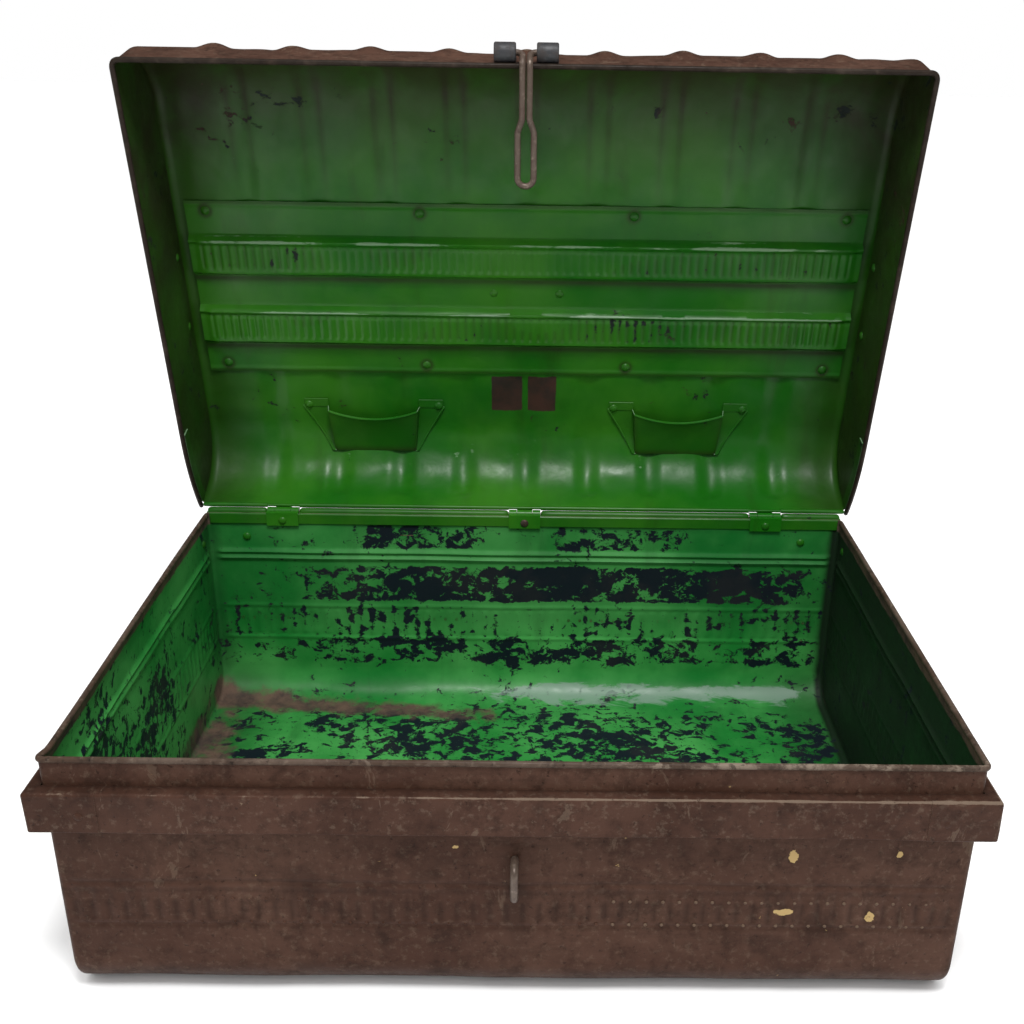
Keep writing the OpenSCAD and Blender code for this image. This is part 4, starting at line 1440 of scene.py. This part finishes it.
class Lid:
    """The ribbed lid with its ends, wired edges and end gussets, drawn shut."""

    def __init__(self, size: LidSize) -> None:
        """Takes the sizes and draws the waviness of the sheet.

        Args:
            size: Sizes of the lid.
        """
        self.size = size
        self.broad = Ripple(41, 120.0, 0.5)
        self.fine = Ripple(44, 36.0, 0.26)

    def ribs(self, p: Array) -> Array:
        """Presses the ribs.

        Args:
            p: Points of the wrap.

        Returns:
            How far each point is pushed outward.
        """
        s = self.size
        x, y, z = p[..., 0], p[..., 1], p[..., 2]
        half = s.rib_w / 2
        value = np.zeros_like(x)
        for i in range(s.ribs):
            at = (i - (s.ribs - 1) / 2) * s.rib_pitch
            value += np.where(np.abs(x - at) < half, 0.5 + 0.5 * np.cos(math.pi * (x - at) / half), 0.0)
        front = np.where(y < 0, smooth(206, 222, z), smooth(219, 234, z))
        return s.rib_h * value * front

    def wear(self, p: Array) -> Array:
        """Wear of the outside, strongest on the ribs."""
        rib = self.ribs(p) / self.size.rib_h
        return 0.15 + 0.45 * smooth(0.6, 1.0, rib)

    def inside(self, p: Array) -> Marks:
        """Marks the inner skin: flakes, darkening towards the front edge (dirt and painted shade) and
        towards the ends, scuffs, a painted highlight on the ribs of the back bend and two bare patches.

        Args:
            p: Points of the wrap.

        Returns:
            The marks.
        """
        x, y = p[..., 0], p[..., 1]
        flat = smooth(250, 272, p[..., 2])
        chip = 0.006 + 0.03 * hump((y + 170) / 40, 1.0) + 0.02 * hump((y - 150) / 30, 1.0)
        chip += 0.06 * hump(np.hypot((x - 190) / 60, (y + 150) / 50), 1.0)
        chip += 0.05 * hump(np.hypot((x + 250) / 50, (y + 150) / 40), 1.0)
        rib = self.ribs(p) / self.size.rib_h
        # darker towards the front edge: dirt and painted shade under the front skirt; also darker towards
        # the ends
        dirt = 0.08 + 0.9 * (1 - smooth(-205, -70, y)) + 0.5 * smooth(245, 312, np.abs(x))
        dirt += 0.22 * hump(rib - 0.5, 0.25) * (1 - smooth(-110, -60, y))
        left = plateau(x, -34, -5, 1.6) * plateau(y, 101, 140, 1.6)
        right = plateau(x, 2, 29, 1.6) * plateau(y, 101, 140, 1.6)
        scuffs_and_sheen = 0.32 * hump(rib - 0.55, 0.2) * plateau(y, -170, -80, 20)
        # painted highlight on the ribs of the back bend
        scuffs_and_sheen += 0.42 * (0.35 + 0.65 * hump(rib - 0.5, 0.3)) * plateau(y, 172, 196, 12)
        return {"chip": chip, "dirt": np.clip(dirt, 0, 1), "bare": 0.8 * (left + right) * flat,
                "wear": scuffs_and_sheen}

    def wrap(self) -> None:
        """Builds the front skirt, the crown and the back of the lid."""
        s = self.size
        profile = Profile.trace([
            ("line", (-s.front, s.edge_z), (-s.front, s.bend_z), 3.0),
            ("arc", (s.bend - s.front, s.bend_z), s.bend, 180, 90, 3.0),
            ("line", (s.bend - s.front, s.crown), (s.back - s.bend, s.crown), 5.0),
            ("arc", (s.back - s.bend, s.bend_z), s.bend, 90, 0, 3.0),
            ("line", (s.back, s.bend_z), (s.back, s.back_z), 3.0),
        ], 1.0)
        xs = spread(-(s.side - s.fold), s.side - s.fold, 2.4)
        points, normals = profile.wrap(s.side, s.fold, xs)
        z, y = points[..., 2], points[..., 1]
        calm = np.where(y < 0, smooth(s.edge_z, 215, z), smooth(s.back_z, 226, z))
        calm = calm * (1 - smooth(s.side - 24, s.side - 9, np.abs(points[..., 0])))
        waves = np.clip(self.broad(points) + self.fine(points) - 0.5, -1.2, 0.0) * calm
        ribs = self.ribs(points)
        piece = Piece.start("lid_wrap_sheet")
        sheet(piece, points, normals, ribs + waves, s.sheet, self.inside(points),
              {"wear": self.wear(points)}, shallow=0.45 * ribs * (1 - smooth(150, 185, y)))
        obj = piece.build([Look.BROWN, Look.GREEN, Look.EDGE], lid=True)
        stand(obj, "lid", "green_lid", "lid_wrap")

    def cut(self, y: Array) -> Array:
        """Curves an end's lower edge.

        Args:
            y: Depths.

        Returns:
            Heights of the edge.
        """
        s = self.size
        over = np.clip(y - s.cut_y, 0, s.cut)
        return s.edge_z + s.cut_r - np.sqrt(s.cut_r**2 - over**2)

    def end(self, sign: float, name: str) -> None:
        """Builds one end wall.

        Args:
            sign: 1 for the right end, -1 for the left.
            name: Suffix of the piece and of its solid.
        """
        s = self.size
        lap = s.sheet / 2
        r = s.bend - s.fold + lap
        y0, y1 = -s.front + s.fold - lap, s.back - s.fold + lap
        ys = np.array(spread(y0, y0 + 40, 1.5) + spread(y0 + 40, y1 - 40, 4.0)[1:]
                      + spread(y1 - 40, y1, 1.5)[1:])
        over = np.maximum(np.clip(s.bend - s.front - ys, 0, None), np.clip(ys - (s.back - s.bend), 0, None))
        high = s.bend_z + np.sqrt(np.clip(r * r - over**2, 0, None))
        low = self.cut(ys)
        points, normals = end_wall(sign * s.side, ys, low, high, spread(0.0, 1.0, 0.03))
        y, z = points[..., 1], points[..., 2]
        calm = smooth(0, 14, np.minimum(z - low[:, None], high[:, None] - z))
        press = np.minimum(self.broad(points) * 1.3 - 0.3, 0) * calm
        piece = Piece.start("lid_end_sheet_" + name)
        dirt = 0.85 + 0.15 * (1 - smooth(-150, 60, y))
        sheet(piece, points, normals, press, s.sheet, {"chip": 0.06, "dirt": dirt}, {"wear": 0.2})
        obj = piece.build([Look.BROWN, Look.GREEN, Look.EDGE], lid=True)
        stand(obj, "lid", "green_lid", "lid_end_" + name)

    def rim(self) -> None:
        """Builds the wired edge of the front and the ends."""
        s = self.size
        x, y = s.side - s.sheet / 2, s.front - s.sheet / 2
        line = [np.array([x, y_, float(self.cut(np.array(y_)))]) for y_ in spread(s.back, s.cut_y, 6.0)]
        corner = round_corners([(x, s.cut_y, s.edge_z), (x, -y, s.edge_z), (-x, -y, s.edge_z),
                                (-x, s.cut_y, s.edge_z)], 7.0, 8)
        other = [p * np.array([-1.0, 1.0, 1.0]) for p in line[::-1]]
        path = refine(np.concatenate([line[:-1], corner, other[1:]]), 8.0)
        piece = Piece.start("lid_rim_roll_bar")
        tube(piece, path, BODY.roll, 12, wear=0.1, dirt=0.85)
        obj = piece.build([Look.EDGE], lid=True)
        stand(obj, "lid", "worn_edge", "lid_rim_roll")

    def back_roll(self) -> None:
        """Builds the wired edge of the back, thinner behind the hinges."""
        piece = Piece.start("lid_back_roll_bar")
        y, z, end = self.size.back - self.size.sheet / 2, self.size.back_z, self.size.side - self.size.sheet
        neck, step = HINGE.notch, 0.2
        stops = sorted([-end, end, *(x + side * reach for x in HINGE.xs for side in (-1.0, 1.0)
                                     for reach in (neck, neck + step))])
        xs = np.array([x for a, b in zip(stops, stops[1:]) for x in spread(a, b, 8.0)[:-1]] + [end])
        hinge = np.minimum.reduce([np.abs(xs - x) for x in HINGE.xs]) < neck + step / 2
        path = np.stack([xs, np.full_like(xs, y), np.full_like(xs, z)], -1)
        tube(piece, path, np.where(hinge, 1.35, BODY.roll), 12, dirt=0.15, chip=0.01)
        obj = piece.build([Look.GREEN], lid=True)
        stand(obj, "lid", "worn_edge", "lid_back_roll")

    def gusset(self, sign: float, name: str) -> None:
        """Builds the curved strip inside one end.

        Args:
            sign: 1 for the right end, -1 for the left.
            name: Suffix of the piece and of its solid.
        """
        s = self.size
        cz = s.edge_z + s.cut_r
        angles = spread(270.0, 270 + math.degrees(math.asin((s.cut - 5.5) / (s.cut_r - 3.0))), 1.0)
        rows = []
        for a in angles:
            c, d = math.cos(math.radians(a)), math.sin(math.radians(a))
            rows.append([(sign * (s.side - 0.8), s.cut_y + (s.cut_r - r) * c, cz + (s.cut_r - r) * d)
                         for r in spread(3.0, 15.0, 2.0)])
        points = np.array(rows) + np.array([-sign * 1.2, 0.0, 0.0])
        normals = np.zeros_like(points)
        normals[..., 0] = -sign
        piece = Piece.start("lid_gusset_strip_" + name)
        sheet(piece, points, normals, np.zeros(points.shape[:2]), 1.2, skins=(0, 0, 0),
              outer={"dirt": 0.6, "chip": 0.05})
        obj = piece.build([Look.GREEN], lid=True)
        stand(obj, "lid", "green_trim", "lid_gusset_" + name)

    def build(self) -> None:
        """Builds every piece of the lid's shell."""
        self.wrap()
        self.end(-1.0, "left")
        self.end(1.0, "right")
        self.rim()
        self.back_roll()
        self.gusset(-1.0, "left")
        self.gusset(1.0, "right")


@dataclass(frozen=True)
class CentrePanel:
    """The panel inside the lid with two raised, fluted bands."""

    back: float = 97.0
    length: float = 170.0
    half_w: float = 308.1
    band_w: float = 40.0
    band_h: float = 7.0
    pitch: float = 69.0
    flute: float = 7.7
    top: float = 271.9
    rivet_xs: tuple[float, ...] = (-290.0, -97.0, 97.0, 290.0)
    rivet_in: float = 9.0

    def build(self) -> None:
        """Builds the panel and its rivets."""
        y0, y1 = self.back - self.length, self.back
        mid = (y0 + y1) / 2
        ys = np.array(spread(y0, y1, 1.6))
        xs = np.array(spread(-self.half_w, self.half_w, 1.1))
        x, y = np.meshgrid(xs, ys, indexing="xy")
        wave = Ripple(51, 90.0, 0.25)
        points = np.stack([x, y, np.full_like(x, self.top)], -1)
        normals = np.zeros_like(points)
        normals[..., 2] = 1.0
        press, strokes, shade, ridge_highlight = (np.zeros_like(x) for _ in range(4))
        flute = flutes(x, self.flute) ** 2
        ends = plateau(x, -self.half_w + 12, self.half_w - 12, 8)
        for k in (-1.0, 1.0):
            off = y - (mid + k * self.pitch / 2)
            half = self.band_w / 2
            press -= self.band_h * plateau(off, -half + 4.5, half - 4.5, 4.5) * (0.75 + 0.25 * ends)
            inside = plateau(off, -half + 10, half - 10, 3.5) * ends
            strokes = np.maximum(strokes, flute * inside)
            press += 0.9 * flute * inside
            press -= 1.1 * hump(off + half - 5.4, 1.5)
            press += 0.9 * hump(off + half - 9.0, 1.5)
            # painted shadow below each band's lower edge
            shade = np.maximum(shade, hump(off - half - 3.0, 3.0))
            # painted highlight along each band's upper edge
            ridge_highlight = np.maximum(ridge_highlight, hump(off + half - 5.2, 1.5) + 0.6 * hump(off + half - 1.2, 1.2))
        press -= 0.6 * (hump(y - y0 - 3.0, 1.6) + hump(y - y1 + 3.0, 1.6))
        press = np.clip(press + wave(points) - 0.4, -8.2, 0.0)
        patch = Ripple(57, 120.0, 0.6)(points)
        chip = np.clip(0.008 + 0.01 * patch + strokes * np.clip(0.02 + 0.16 * patch, 0, 0.2), 0, 0.6)
        edges = hump(y - y0 - 1.0, 2.0) + hump(y - y1 + 1.0, 2.0)
        corners = [(rx, ry) for rx in self.rivet_xs for ry in (y0 + self.rivet_in, y1 - self.rivet_in)]
        for rx, ry in corners:
            edges = edges + 1.4 * hump(np.hypot(x - rx, y - ry) - 5.0, 2.0)
        # the dirt value also carries the painted shadow below the bands
        dirt = np.clip(0.08 + 0.5 * edges + 0.3 * strokes * (patch > -0.2) + 0.75 * shade, 0, 1)
        piece = Piece.start("lid_centre_panel_sheet")
        # the wear value here is the painted highlight along the bands' upper edges
        wear = 0.95 * ridge_highlight * ends * np.clip(0.85 + 0.4 * patch, 0.5, 1.0)
        sheet(piece, points, normals, press, LID.sheet, {"chip": chip, "dirt": dirt, "wear": wear},
              skins=(0, 0, 0))
        obj = piece.build([Look.GREEN], lid=True)
        stand(obj, "lid", "green_trim", "lid_centre_panel")
        rivets = Piece.start("lid_panel_rivet_heads")
        z = self.top - LID.sheet
        for rx, ry in corners:
            dome(rivets, (rx, ry, z), (0, 0, -1), 4.4, 2.4, dirt=0.25, chip=0.06)
        for rx in (-31, 31):
            dome(rivets, (rx, mid, z), (0, 0, -1), 4.0, 2.0, dirt=0.25, chip=0.06)
        for s in (-1.0, 1.0):
            for ry in (mid - 38, mid + 30):
                dome(rivets, (s * 317.1, ry, 253.2), (-s, 0, 0), 4.0, 2.0, dirt=0.4, chip=0.06)
        obj = rivets.build([Look.GREEN], lid=True)
        stand(obj, "lid", "green_trim", "lid_panel_rivets")


@dataclass(frozen=True)
class Pocket:
    """A flat pocket inside the lid, with an ear on each side of its mouth."""

    x: float = 152.0
    width: float = 104.0
    mouth: float = 135.0
    foot: float = 182.0
    depth: float = 14.0
    taper: float = 0.07
    sag: float = 9.0
    strap: float = 24.0

    def skin(self, y: float) -> float:
        """Height of the lid's inner skin at a depth."""
        over = max(0.0, y - (LID.back - LID.bend))
        return LID.bend_z + math.sqrt((LID.bend - LID.sheet) ** 2 - over**2)

    def build(self, sign: float, name: str) -> None:
        """Builds one pocket.

        Args:
            sign: 1 for the right pocket, -1 for the left.
            name: Suffix of the piece and of its solid.
        """
        half = self.width / 2 - 8
        cx = sign * self.x
        piece = Piece.start("lid_pocket_sheet_" + name)
        xs = np.array(spread(-half, half, 3.0))
        vs = np.array(spread(0.0, 1.0, 0.06))
        top, low = self.skin(self.mouth) - self.depth, self.skin(self.foot) - 1.0
        x, v = np.meshgrid(xs, vs, indexing="xy")
        sag = self.sag * (1 - (x / half) ** 2)
        y = self.mouth + sag * (1 - v) ** 2 + (self.foot - self.mouth) * v
        z = top + (low - top) * v + 1.2 * np.sin(math.pi * v) * (1 - (x / half) ** 4)
        points = np.stack([cx + x * (1 - self.taper * v), y, z], -1)
        normals = np.zeros_like(points)
        normals[..., 2] = -1.0
        dirt = 0.3 + 0.5 * smooth(0.85, 1.0, v) + 0.3 * smooth(0.9, 1.0, np.abs(x) / half)
        sheet(piece, points, normals, np.zeros_like(x), LID.sheet, skins=(0, 0, 0),
              outer={"dirt": dirt, "chip": 0.02})
        bar = np.array([(cx + q, self.mouth + self.sag * (1 - (q / half) ** 2), top + 0.7) for q in xs])
        tube(piece, bar, 1.3, 8, dirt=0.1)
        for s in (-1.0, 1.0):
            self.side(piece, cx, s, half, top, low)
        obj = piece.build([Look.GREEN], lid=True)
        stand(obj, "lid", "green_trim", "lid_pocket_" + name)

    def side(self, piece: Piece, cx: float, s: float, half: float, top: float, low: float) -> None:
        """Adds the side wall and the three-cornered strap on one side of the pocket.

        Args:
            piece: The piece to add to.
            cx: Middle of the pocket.
            s: 1 for its right side, -1 for its left.
            half: Half of the mouth's width.
            top: Height of the mouth's edge.
            low: Height of the foot.
        """
        wall, strap = [], []
        for v in spread(0.0, 1.0, 0.1):
            y = self.mouth + (self.foot - self.mouth) * v
            floor = self.skin(y) - 1.6
            x = half * (1 - self.taper * v)
            edge = np.array([cx + s * x, y, top + (low - top) * v + 0.3])
            foot = np.array([cx + s * (x + 2.0 * (1 - v)), y, floor])
            wall.append([edge + (foot - edge) * t for t in spread(0.0, 1.0, 0.34)])
            out = np.array([cx + s * (x + 2.0 + self.strap * (1 - v)), y, floor])
            strap.append([foot + (out - foot) * t for t in spread(0.0, 1.0, 0.2)])
        for rows, normal, dirt in ((wall, (s, 0.0, 0.0), 0.35), (strap, (0.0, 0.0, -1.0), 0.2)):
            points = np.array(rows)
            normals = np.broadcast_to(np.array(normal), points.shape).copy()
            sheet(piece, points, normals, np.zeros(points.shape[:2]), 0.7, skins=(0, 0, 0),
                  outer={"dirt": dirt, "chip": 0.02})
        fold = np.array([row[-1] for row in strap])
        tube(piece, fold, 0.9, 8, dirt=0.15)
        x0, x1 = sorted((cx + s * (half + 1.0), cx + s * (half + self.strap + 1.0)))
        z = self.skin(self.mouth)
        slab(piece, (x0, self.mouth - 8, z - 2.2), (x1, self.mouth + 1, z - 1.4), 0.3, dirt=0.2, chip=0.02)


# ---------------------------------------------------------------- fittings


@dataclass(frozen=True)
class Fittings:
    """Rivets, staple, hasp, handles and hinges, in millimetres."""

    neck_rivet: tuple[float, float, float] = (275.0, 188.0, 175.0)
    pocket_rivet: tuple[float, float, float] = (64.5, 134.0, 271.6)
    leaf_rivet_x: float = 10.3
    leaf_face: float = 211.5
    bracket_face: float = 314.5
    bracket_rivet_y: float = 58.6
    bracket_rivet_z: float = 10.0
    staple_out: float = 224.2
    staple_low: float = 96.2
    staple_high: float = 121.8
    staple_r: float = 2.8
    hasp_pivot: tuple[float, float, float] = (0.0, 112.059, 625.640)
    hasp_r: float = 2.5
    barrel_inner: float = 8.0
    barrel_length: float = 17.0
    barrel_y: float = 222.9
    barrel_z: float = 188.0
    handle_x: float = 321.0
    handle_z: float = 120.0
    handle_drop: float = 36.0
    handle_half: float = 48.0
    handle_stub: float = 64.5
    handle_r: float = 3.45

    def rivets(self) -> None:
        """Builds the rivet groups of the body, the pockets, the hinges and the handles."""
        neck = Piece.start("neck_rivet_heads")
        x, y, z = self.neck_rivet
        wall_x, wall_y = BODY.half_w - BODY.sheet, BODY.half_d - BODY.sheet
        for s in (-1.0, 1.0):
            dome(neck, (s * x, wall_y, z), (0, -1, 0), 4.0, 2.0, chip=0.05, dirt=0.1)
            dome(neck, (s * x, -wall_y, z), (0, 1, 0), 4.0, 2.0, chip=0.05, dirt=0.1)
            for e in (-1.0, 1.0):
                dome(neck, (s * wall_x, e * y, z), (-s, 0, 0), 4.0, 2.0, chip=0.08, dirt=0.4)
        stand(neck.build([Look.GREEN]), "trunk", "green_trim", "neck_rivets")
        pocket = Piece.start("pocket_rivet_heads")
        x, y, z = self.pocket_rivet
        for p in (-Pocket.x, Pocket.x):
            for s in (-1.0, 1.0):
                dome(pocket, (p + s * x, y, z), (0, 0, -1), 4.4, 2.4, chip=0.05, dirt=0.2)
        stand(pocket.build([Look.GREEN], lid=True), "lid", "green_trim", "lid_pocket_rivets")
        body = Piece.start("hinge_body_rivet_heads")
        cover = Piece.start("hinge_lid_rivet_heads")
        for x in HINGE.xs:
            dome(body, (x, 206.1, 193.5), (0, -1, 0), 4.0, 2.0, int(x != 0), dirt=0.2)
            for s in (-self.leaf_rivet_x, self.leaf_rivet_x):
                dome(body, (x + s, self.leaf_face, 184.7), (0, 1, 0), 3.2, 1.6)
                dome(cover, (x + s, self.leaf_face, 210.5), (0, 1, 0), 4.0, 2.0)
        looks = [Look.FITTING, Look.GREEN]
        stand(body.build(looks), "trunk", "fittings", "hinge_body_rivets")
        stand(cover.build([Look.FITTING], lid=True), "lid", "fittings", "hinge_lid_rivets")
        grip = Piece.start("handle_rivet_heads")
        for e, s, up in ((e, s, up) for e in (-1.0, 1.0) for s in (-1.0, 1.0) for up in (-1.0, 1.0)):
            at = (e * self.bracket_face, s * self.bracket_rivet_y, self.handle_z + up * self.bracket_rivet_z)
            dome(grip, at, (e, 0, 0), 3.2, 1.6)
        stand(grip.build([Look.FITTING]), "trunk", "fittings", "handle_rivets")

    def staple(self) -> None:
        """Builds the staple on the front."""
        y, low, high = -self.staple_out, self.staple_low, self.staple_high
        corners = [(0, -207, low), (0, y, low), (0, y, high), (0, -207, high)]
        piece = Piece.start("staple_bar")
        tube(piece, round_corners(corners, 7.0, 8), self.staple_r, 16)
        stand(piece.build([Look.WIRE]), "trunk", "fittings", "staple")

    def hasp(self) -> None:
        """Builds the wire hasp and its two barrels."""
        half: list[tuple[float, float, float]] = [
            (25, 0, 0), (2.8, 0, 0), (2.8, -12, -7), (2.8, -12, -48), (6.4, -8, -58)]
        right = round_corners([*half, (6.4, -8, -92.1)], 6.0, 8)
        bow = np.array([(6.4 * math.cos(a), -8.0, -92.1 - 6.4 * math.sin(a))
                        for a in (math.pi * i / 18 for i in range(1, 18))])
        left = right[::-1] * np.array([-1.0, 1.0, 1.0])
        path = np.concatenate([right, bow, left]) + np.array(self.hasp_pivot)
        piece = Piece.start("hasp_wire")
        tube(piece, path, self.hasp_r, 16)
        stand(piece.build([Look.WIRE]), "hasp", "bare_wire", "hasp_link")
        rivets = Piece.start("hasp_rivet_heads")
        for sign, name in ((-1.0, "left"), (1.0, "right")):
            barrel = Piece.start("hasp_barrel_tube_" + name)
            half_shape = [(2.56, 1.0), (3.2, 0.0), (6.3, 0.0), (7.1, 0.35), (7.5, 1.2)]
            shape = half_shape + [(r, self.barrel_length - w) for r, w in half_shape[::-1]]
            a = np.arange(40) * 2 * math.pi / 40
            rings = np.array([[(sign * (self.barrel_inner + w), -self.barrel_y + r * math.cos(t),
                                self.barrel_z + r * math.sin(t)) for t in a] for r, w in shape])
            rings = np.concatenate([rings, rings[:1]])
            faces = grid_faces(len(rings), len(a), True)
            barrel.append(rings.reshape(-1, 3), faces if sign < 0 else faces[:, ::-1])
            x0, x1 = sorted((sign * self.barrel_inner, sign * (self.barrel_inner + self.barrel_length)))
            slab(barrel, (x0, -216.1, 186.5), (x1, -214.9, 205), 0.35)
            slab(barrel, (x0 + 0.6, -217.5, 186.6), (x1 - 0.6, -215.2, 189.4), 0.5)
            stand(barrel.build([Look.BARREL], lid=True), "lid", "barrel_iron", "hasp_barrel_" + name)
            dome(rivets, (sign * 16.5, -216.1, 200.5), (0, -1, 0), 3.2, 1.6)
        stand(rivets.build([Look.BARREL], lid=True), "lid", "barrel_iron", "hasp_rivets")

    def handles(self) -> None:
        """Builds the two drop handles."""
        for sign, name in ((-1.0, "left"), (1.0, "right")):
            x, z, half, stub = sign * self.handle_x, self.handle_z, self.handle_half, self.handle_stub
            low = z - self.handle_drop
            corners = [(x, -stub, z), (x, -half, z), (x, -half, low), (x, half, low), (x, half, z),
                       (x, stub, z)]
            piece = Piece.start("handle_bar_" + name)
            tube(piece, round_corners(corners, 7.0, 8), self.handle_r, 16)
            stand(piece.build([Look.FITTING]), "handle_" + name, "fittings", "handle_" + name)

    def plain(self) -> None:
        """Gives the remaining solids their finish."""
        for name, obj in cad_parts.items():
            if obj.hide_render:
                continue
            look = Look.PIN if name.startswith("hinge_pin") else Look.FITTING
            if name == "staple_backing" or "_leaf_" in name:
                look = Look.GREEN
            obj.data.materials.clear()
            obj.data.materials.append(PALETTE[look])
            LOG.info("dressed %s", name)

    def build(self) -> None:
        """Builds every fitting."""
        self.rivets()
        self.staple()
        self.hasp()
        self.handles()
        self.plain()


# ---------------------------------------------------------------- studio


@dataclass(frozen=True)
class Studio:
    """Pale floor, soft lights and the camera."""

    eye: tuple[float, float, float] = (0.0128, -0.853, 0.6409)
    yaw: float = -0.711
    pitch: float = -22.806
    roll: float = 0.969
    lens: float = 41.01
    shift: tuple[float, float] = (-0.0379, 0.0097)
    horizon: float = 0.08
    zenith: float = 1.9
    mirrored: float = 0.08
    floor_half: float = 14.0

    def floor(self) -> None:
        """Adds the floor."""
        mesh = bpy.data.meshes.new("studio_floor")
        s = self.floor_half
        mesh.from_pydata([(-s, -s, 0), (s, -s, 0), (s, s, 0), (-s, s, 0)], [], [(0, 1, 2, 3)])
        obj = bpy.data.objects.new("studio_floor", mesh)
        bpy.context.scene.collection.objects.link(obj)
        p = Paint("studio_paper")
        grain = p.noise(3.0, 3.0, 0.5)
        colour = p.mix(grain, (0.86, 0.86, 0.86), (0.9, 0.9, 0.9))
        mesh.materials.append(p.surface(colour, 0.8, 0.0, p.noise(40.0, 3.0), 0.0001))

    def light(self, name: str, at: Sequence[float], to: Sequence[float], size: float,
              power: float) -> None:
        """Adds a soft light.

        Args:
            name: Its name.
            at: Its place in metres.
            to: The point it faces.
            size: Side of the light.
            power: Power in watts.
        """
        data = bpy.data.lights.new(name, "AREA")
        data.shape = "SQUARE"
        data.size = size
        data.energy = power
        obj = bpy.data.objects.new(name, data)
        obj.location = at
        obj.rotation_euler = (Vector(to) - Vector(at)).to_track_quat("-Z", "Y").to_euler()
        bpy.context.scene.collection.objects.link(obj)

    def air(self) -> None:
        """Adds the surroundings: bright above, dim in reflections, white behind the trunk."""
        world = bpy.data.worlds.new("studio_air")
        world.use_nodes = True
        tree = world.node_tree
        back = tree.nodes["Background"]
        back.inputs["Color"].default_value = (1.0, 1.0, 1.0, 1.0)
        split = tree.nodes.new("ShaderNodeSeparateXYZ")
        tree.links.new(tree.nodes.new("ShaderNodeTexCoord").outputs["Generated"], split.inputs[0])
        rays = tree.nodes.new("ShaderNodeLightPath")

        def ramp(value: Socket, low: float, high: float) -> Socket:
            """Maps a value.

            Args:
                value: A value from 0 to 1.
                low: Result at 0.
                high: Result at 1.

            Returns:
                The mapped value.
            """
            node = tree.nodes.new("ShaderNodeMapRange")
            tree.links.new(value, node.inputs["Value"])
            node.inputs["To Min"].default_value = low
            node.inputs["To Max"].default_value = high
            return node.outputs["Result"]

        def join(operation: str, a: Socket, b: Socket) -> Socket:
            """Joins two values.

            Args:
                operation: Blender's name of the operation.
                a: First value.
                b: Second value.

            Returns:
                The result.
            """
            node = tree.nodes.new("ShaderNodeMath")
            node.operation = operation
            tree.links.new(a, node.inputs[0])
            tree.links.new(b, node.inputs[1])
            return node.outputs[0]

        sky = ramp(split.outputs["Z"], self.horizon, self.zenith)
        sky = join("MULTIPLY", sky, ramp(rays.outputs["Is Glossy Ray"], 1.0, self.mirrored))
        sky = join("MAXIMUM", sky, rays.outputs["Is Camera Ray"])
        tree.links.new(sky, back.inputs["Strength"])
        bpy.context.scene.world = world

    def camera(self) -> None:
        """Adds the camera."""
        yaw, pitch, roll = (math.radians(v) for v in (self.yaw, self.pitch, self.roll))
        fwd = Vector((-math.sin(yaw) * math.cos(pitch), math.cos(yaw) * math.cos(pitch), math.sin(pitch)))
        r0 = Vector((math.cos(yaw), math.sin(yaw), 0.0))
        u0 = r0.cross(fwd)
        right = r0 * math.cos(roll) + u0 * math.sin(roll)
        up = u0 * math.cos(roll) - r0 * math.sin(roll)
        data = bpy.data.cameras.new("camera")
        data.lens = self.lens
        data.sensor_width = 36.0
        data.shift_x, data.shift_y = self.shift
        data.clip_start = 0.05
        obj = bpy.data.objects.new("camera", data)
        obj.matrix_world = Matrix.Translation(self.eye) @ Matrix(
            (right, up, -fwd)).transposed().to_4x4()
        bpy.context.scene.collection.objects.link(obj)
        bpy.context.scene.camera = obj

    def build(self) -> None:
        """Adds the whole studio."""
        self.floor()
        self.air()
        bpy.context.scene.view_settings.view_transform = "Standard"
        self.light("overhead", (0.1, -0.8, 2.0), (0, 0.05, 0.2), 0.42, 28.0)
        self.camera()


def main() -> None:
    """Builds the trunk and its studio in order."""
    logging.basicConfig(level=logging.INFO, format="%(name)s: %(message)s")
    Body(BODY).build()
    Bands(BODY, BAND).build()
    Lid(LID).build()
    CentrePanel().build()
    Pocket().build(-1.0, "left")
    Pocket().build(1.0, "right")
    Fittings().build()
    Studio().build()


if __name__ == "__main__":
    main()
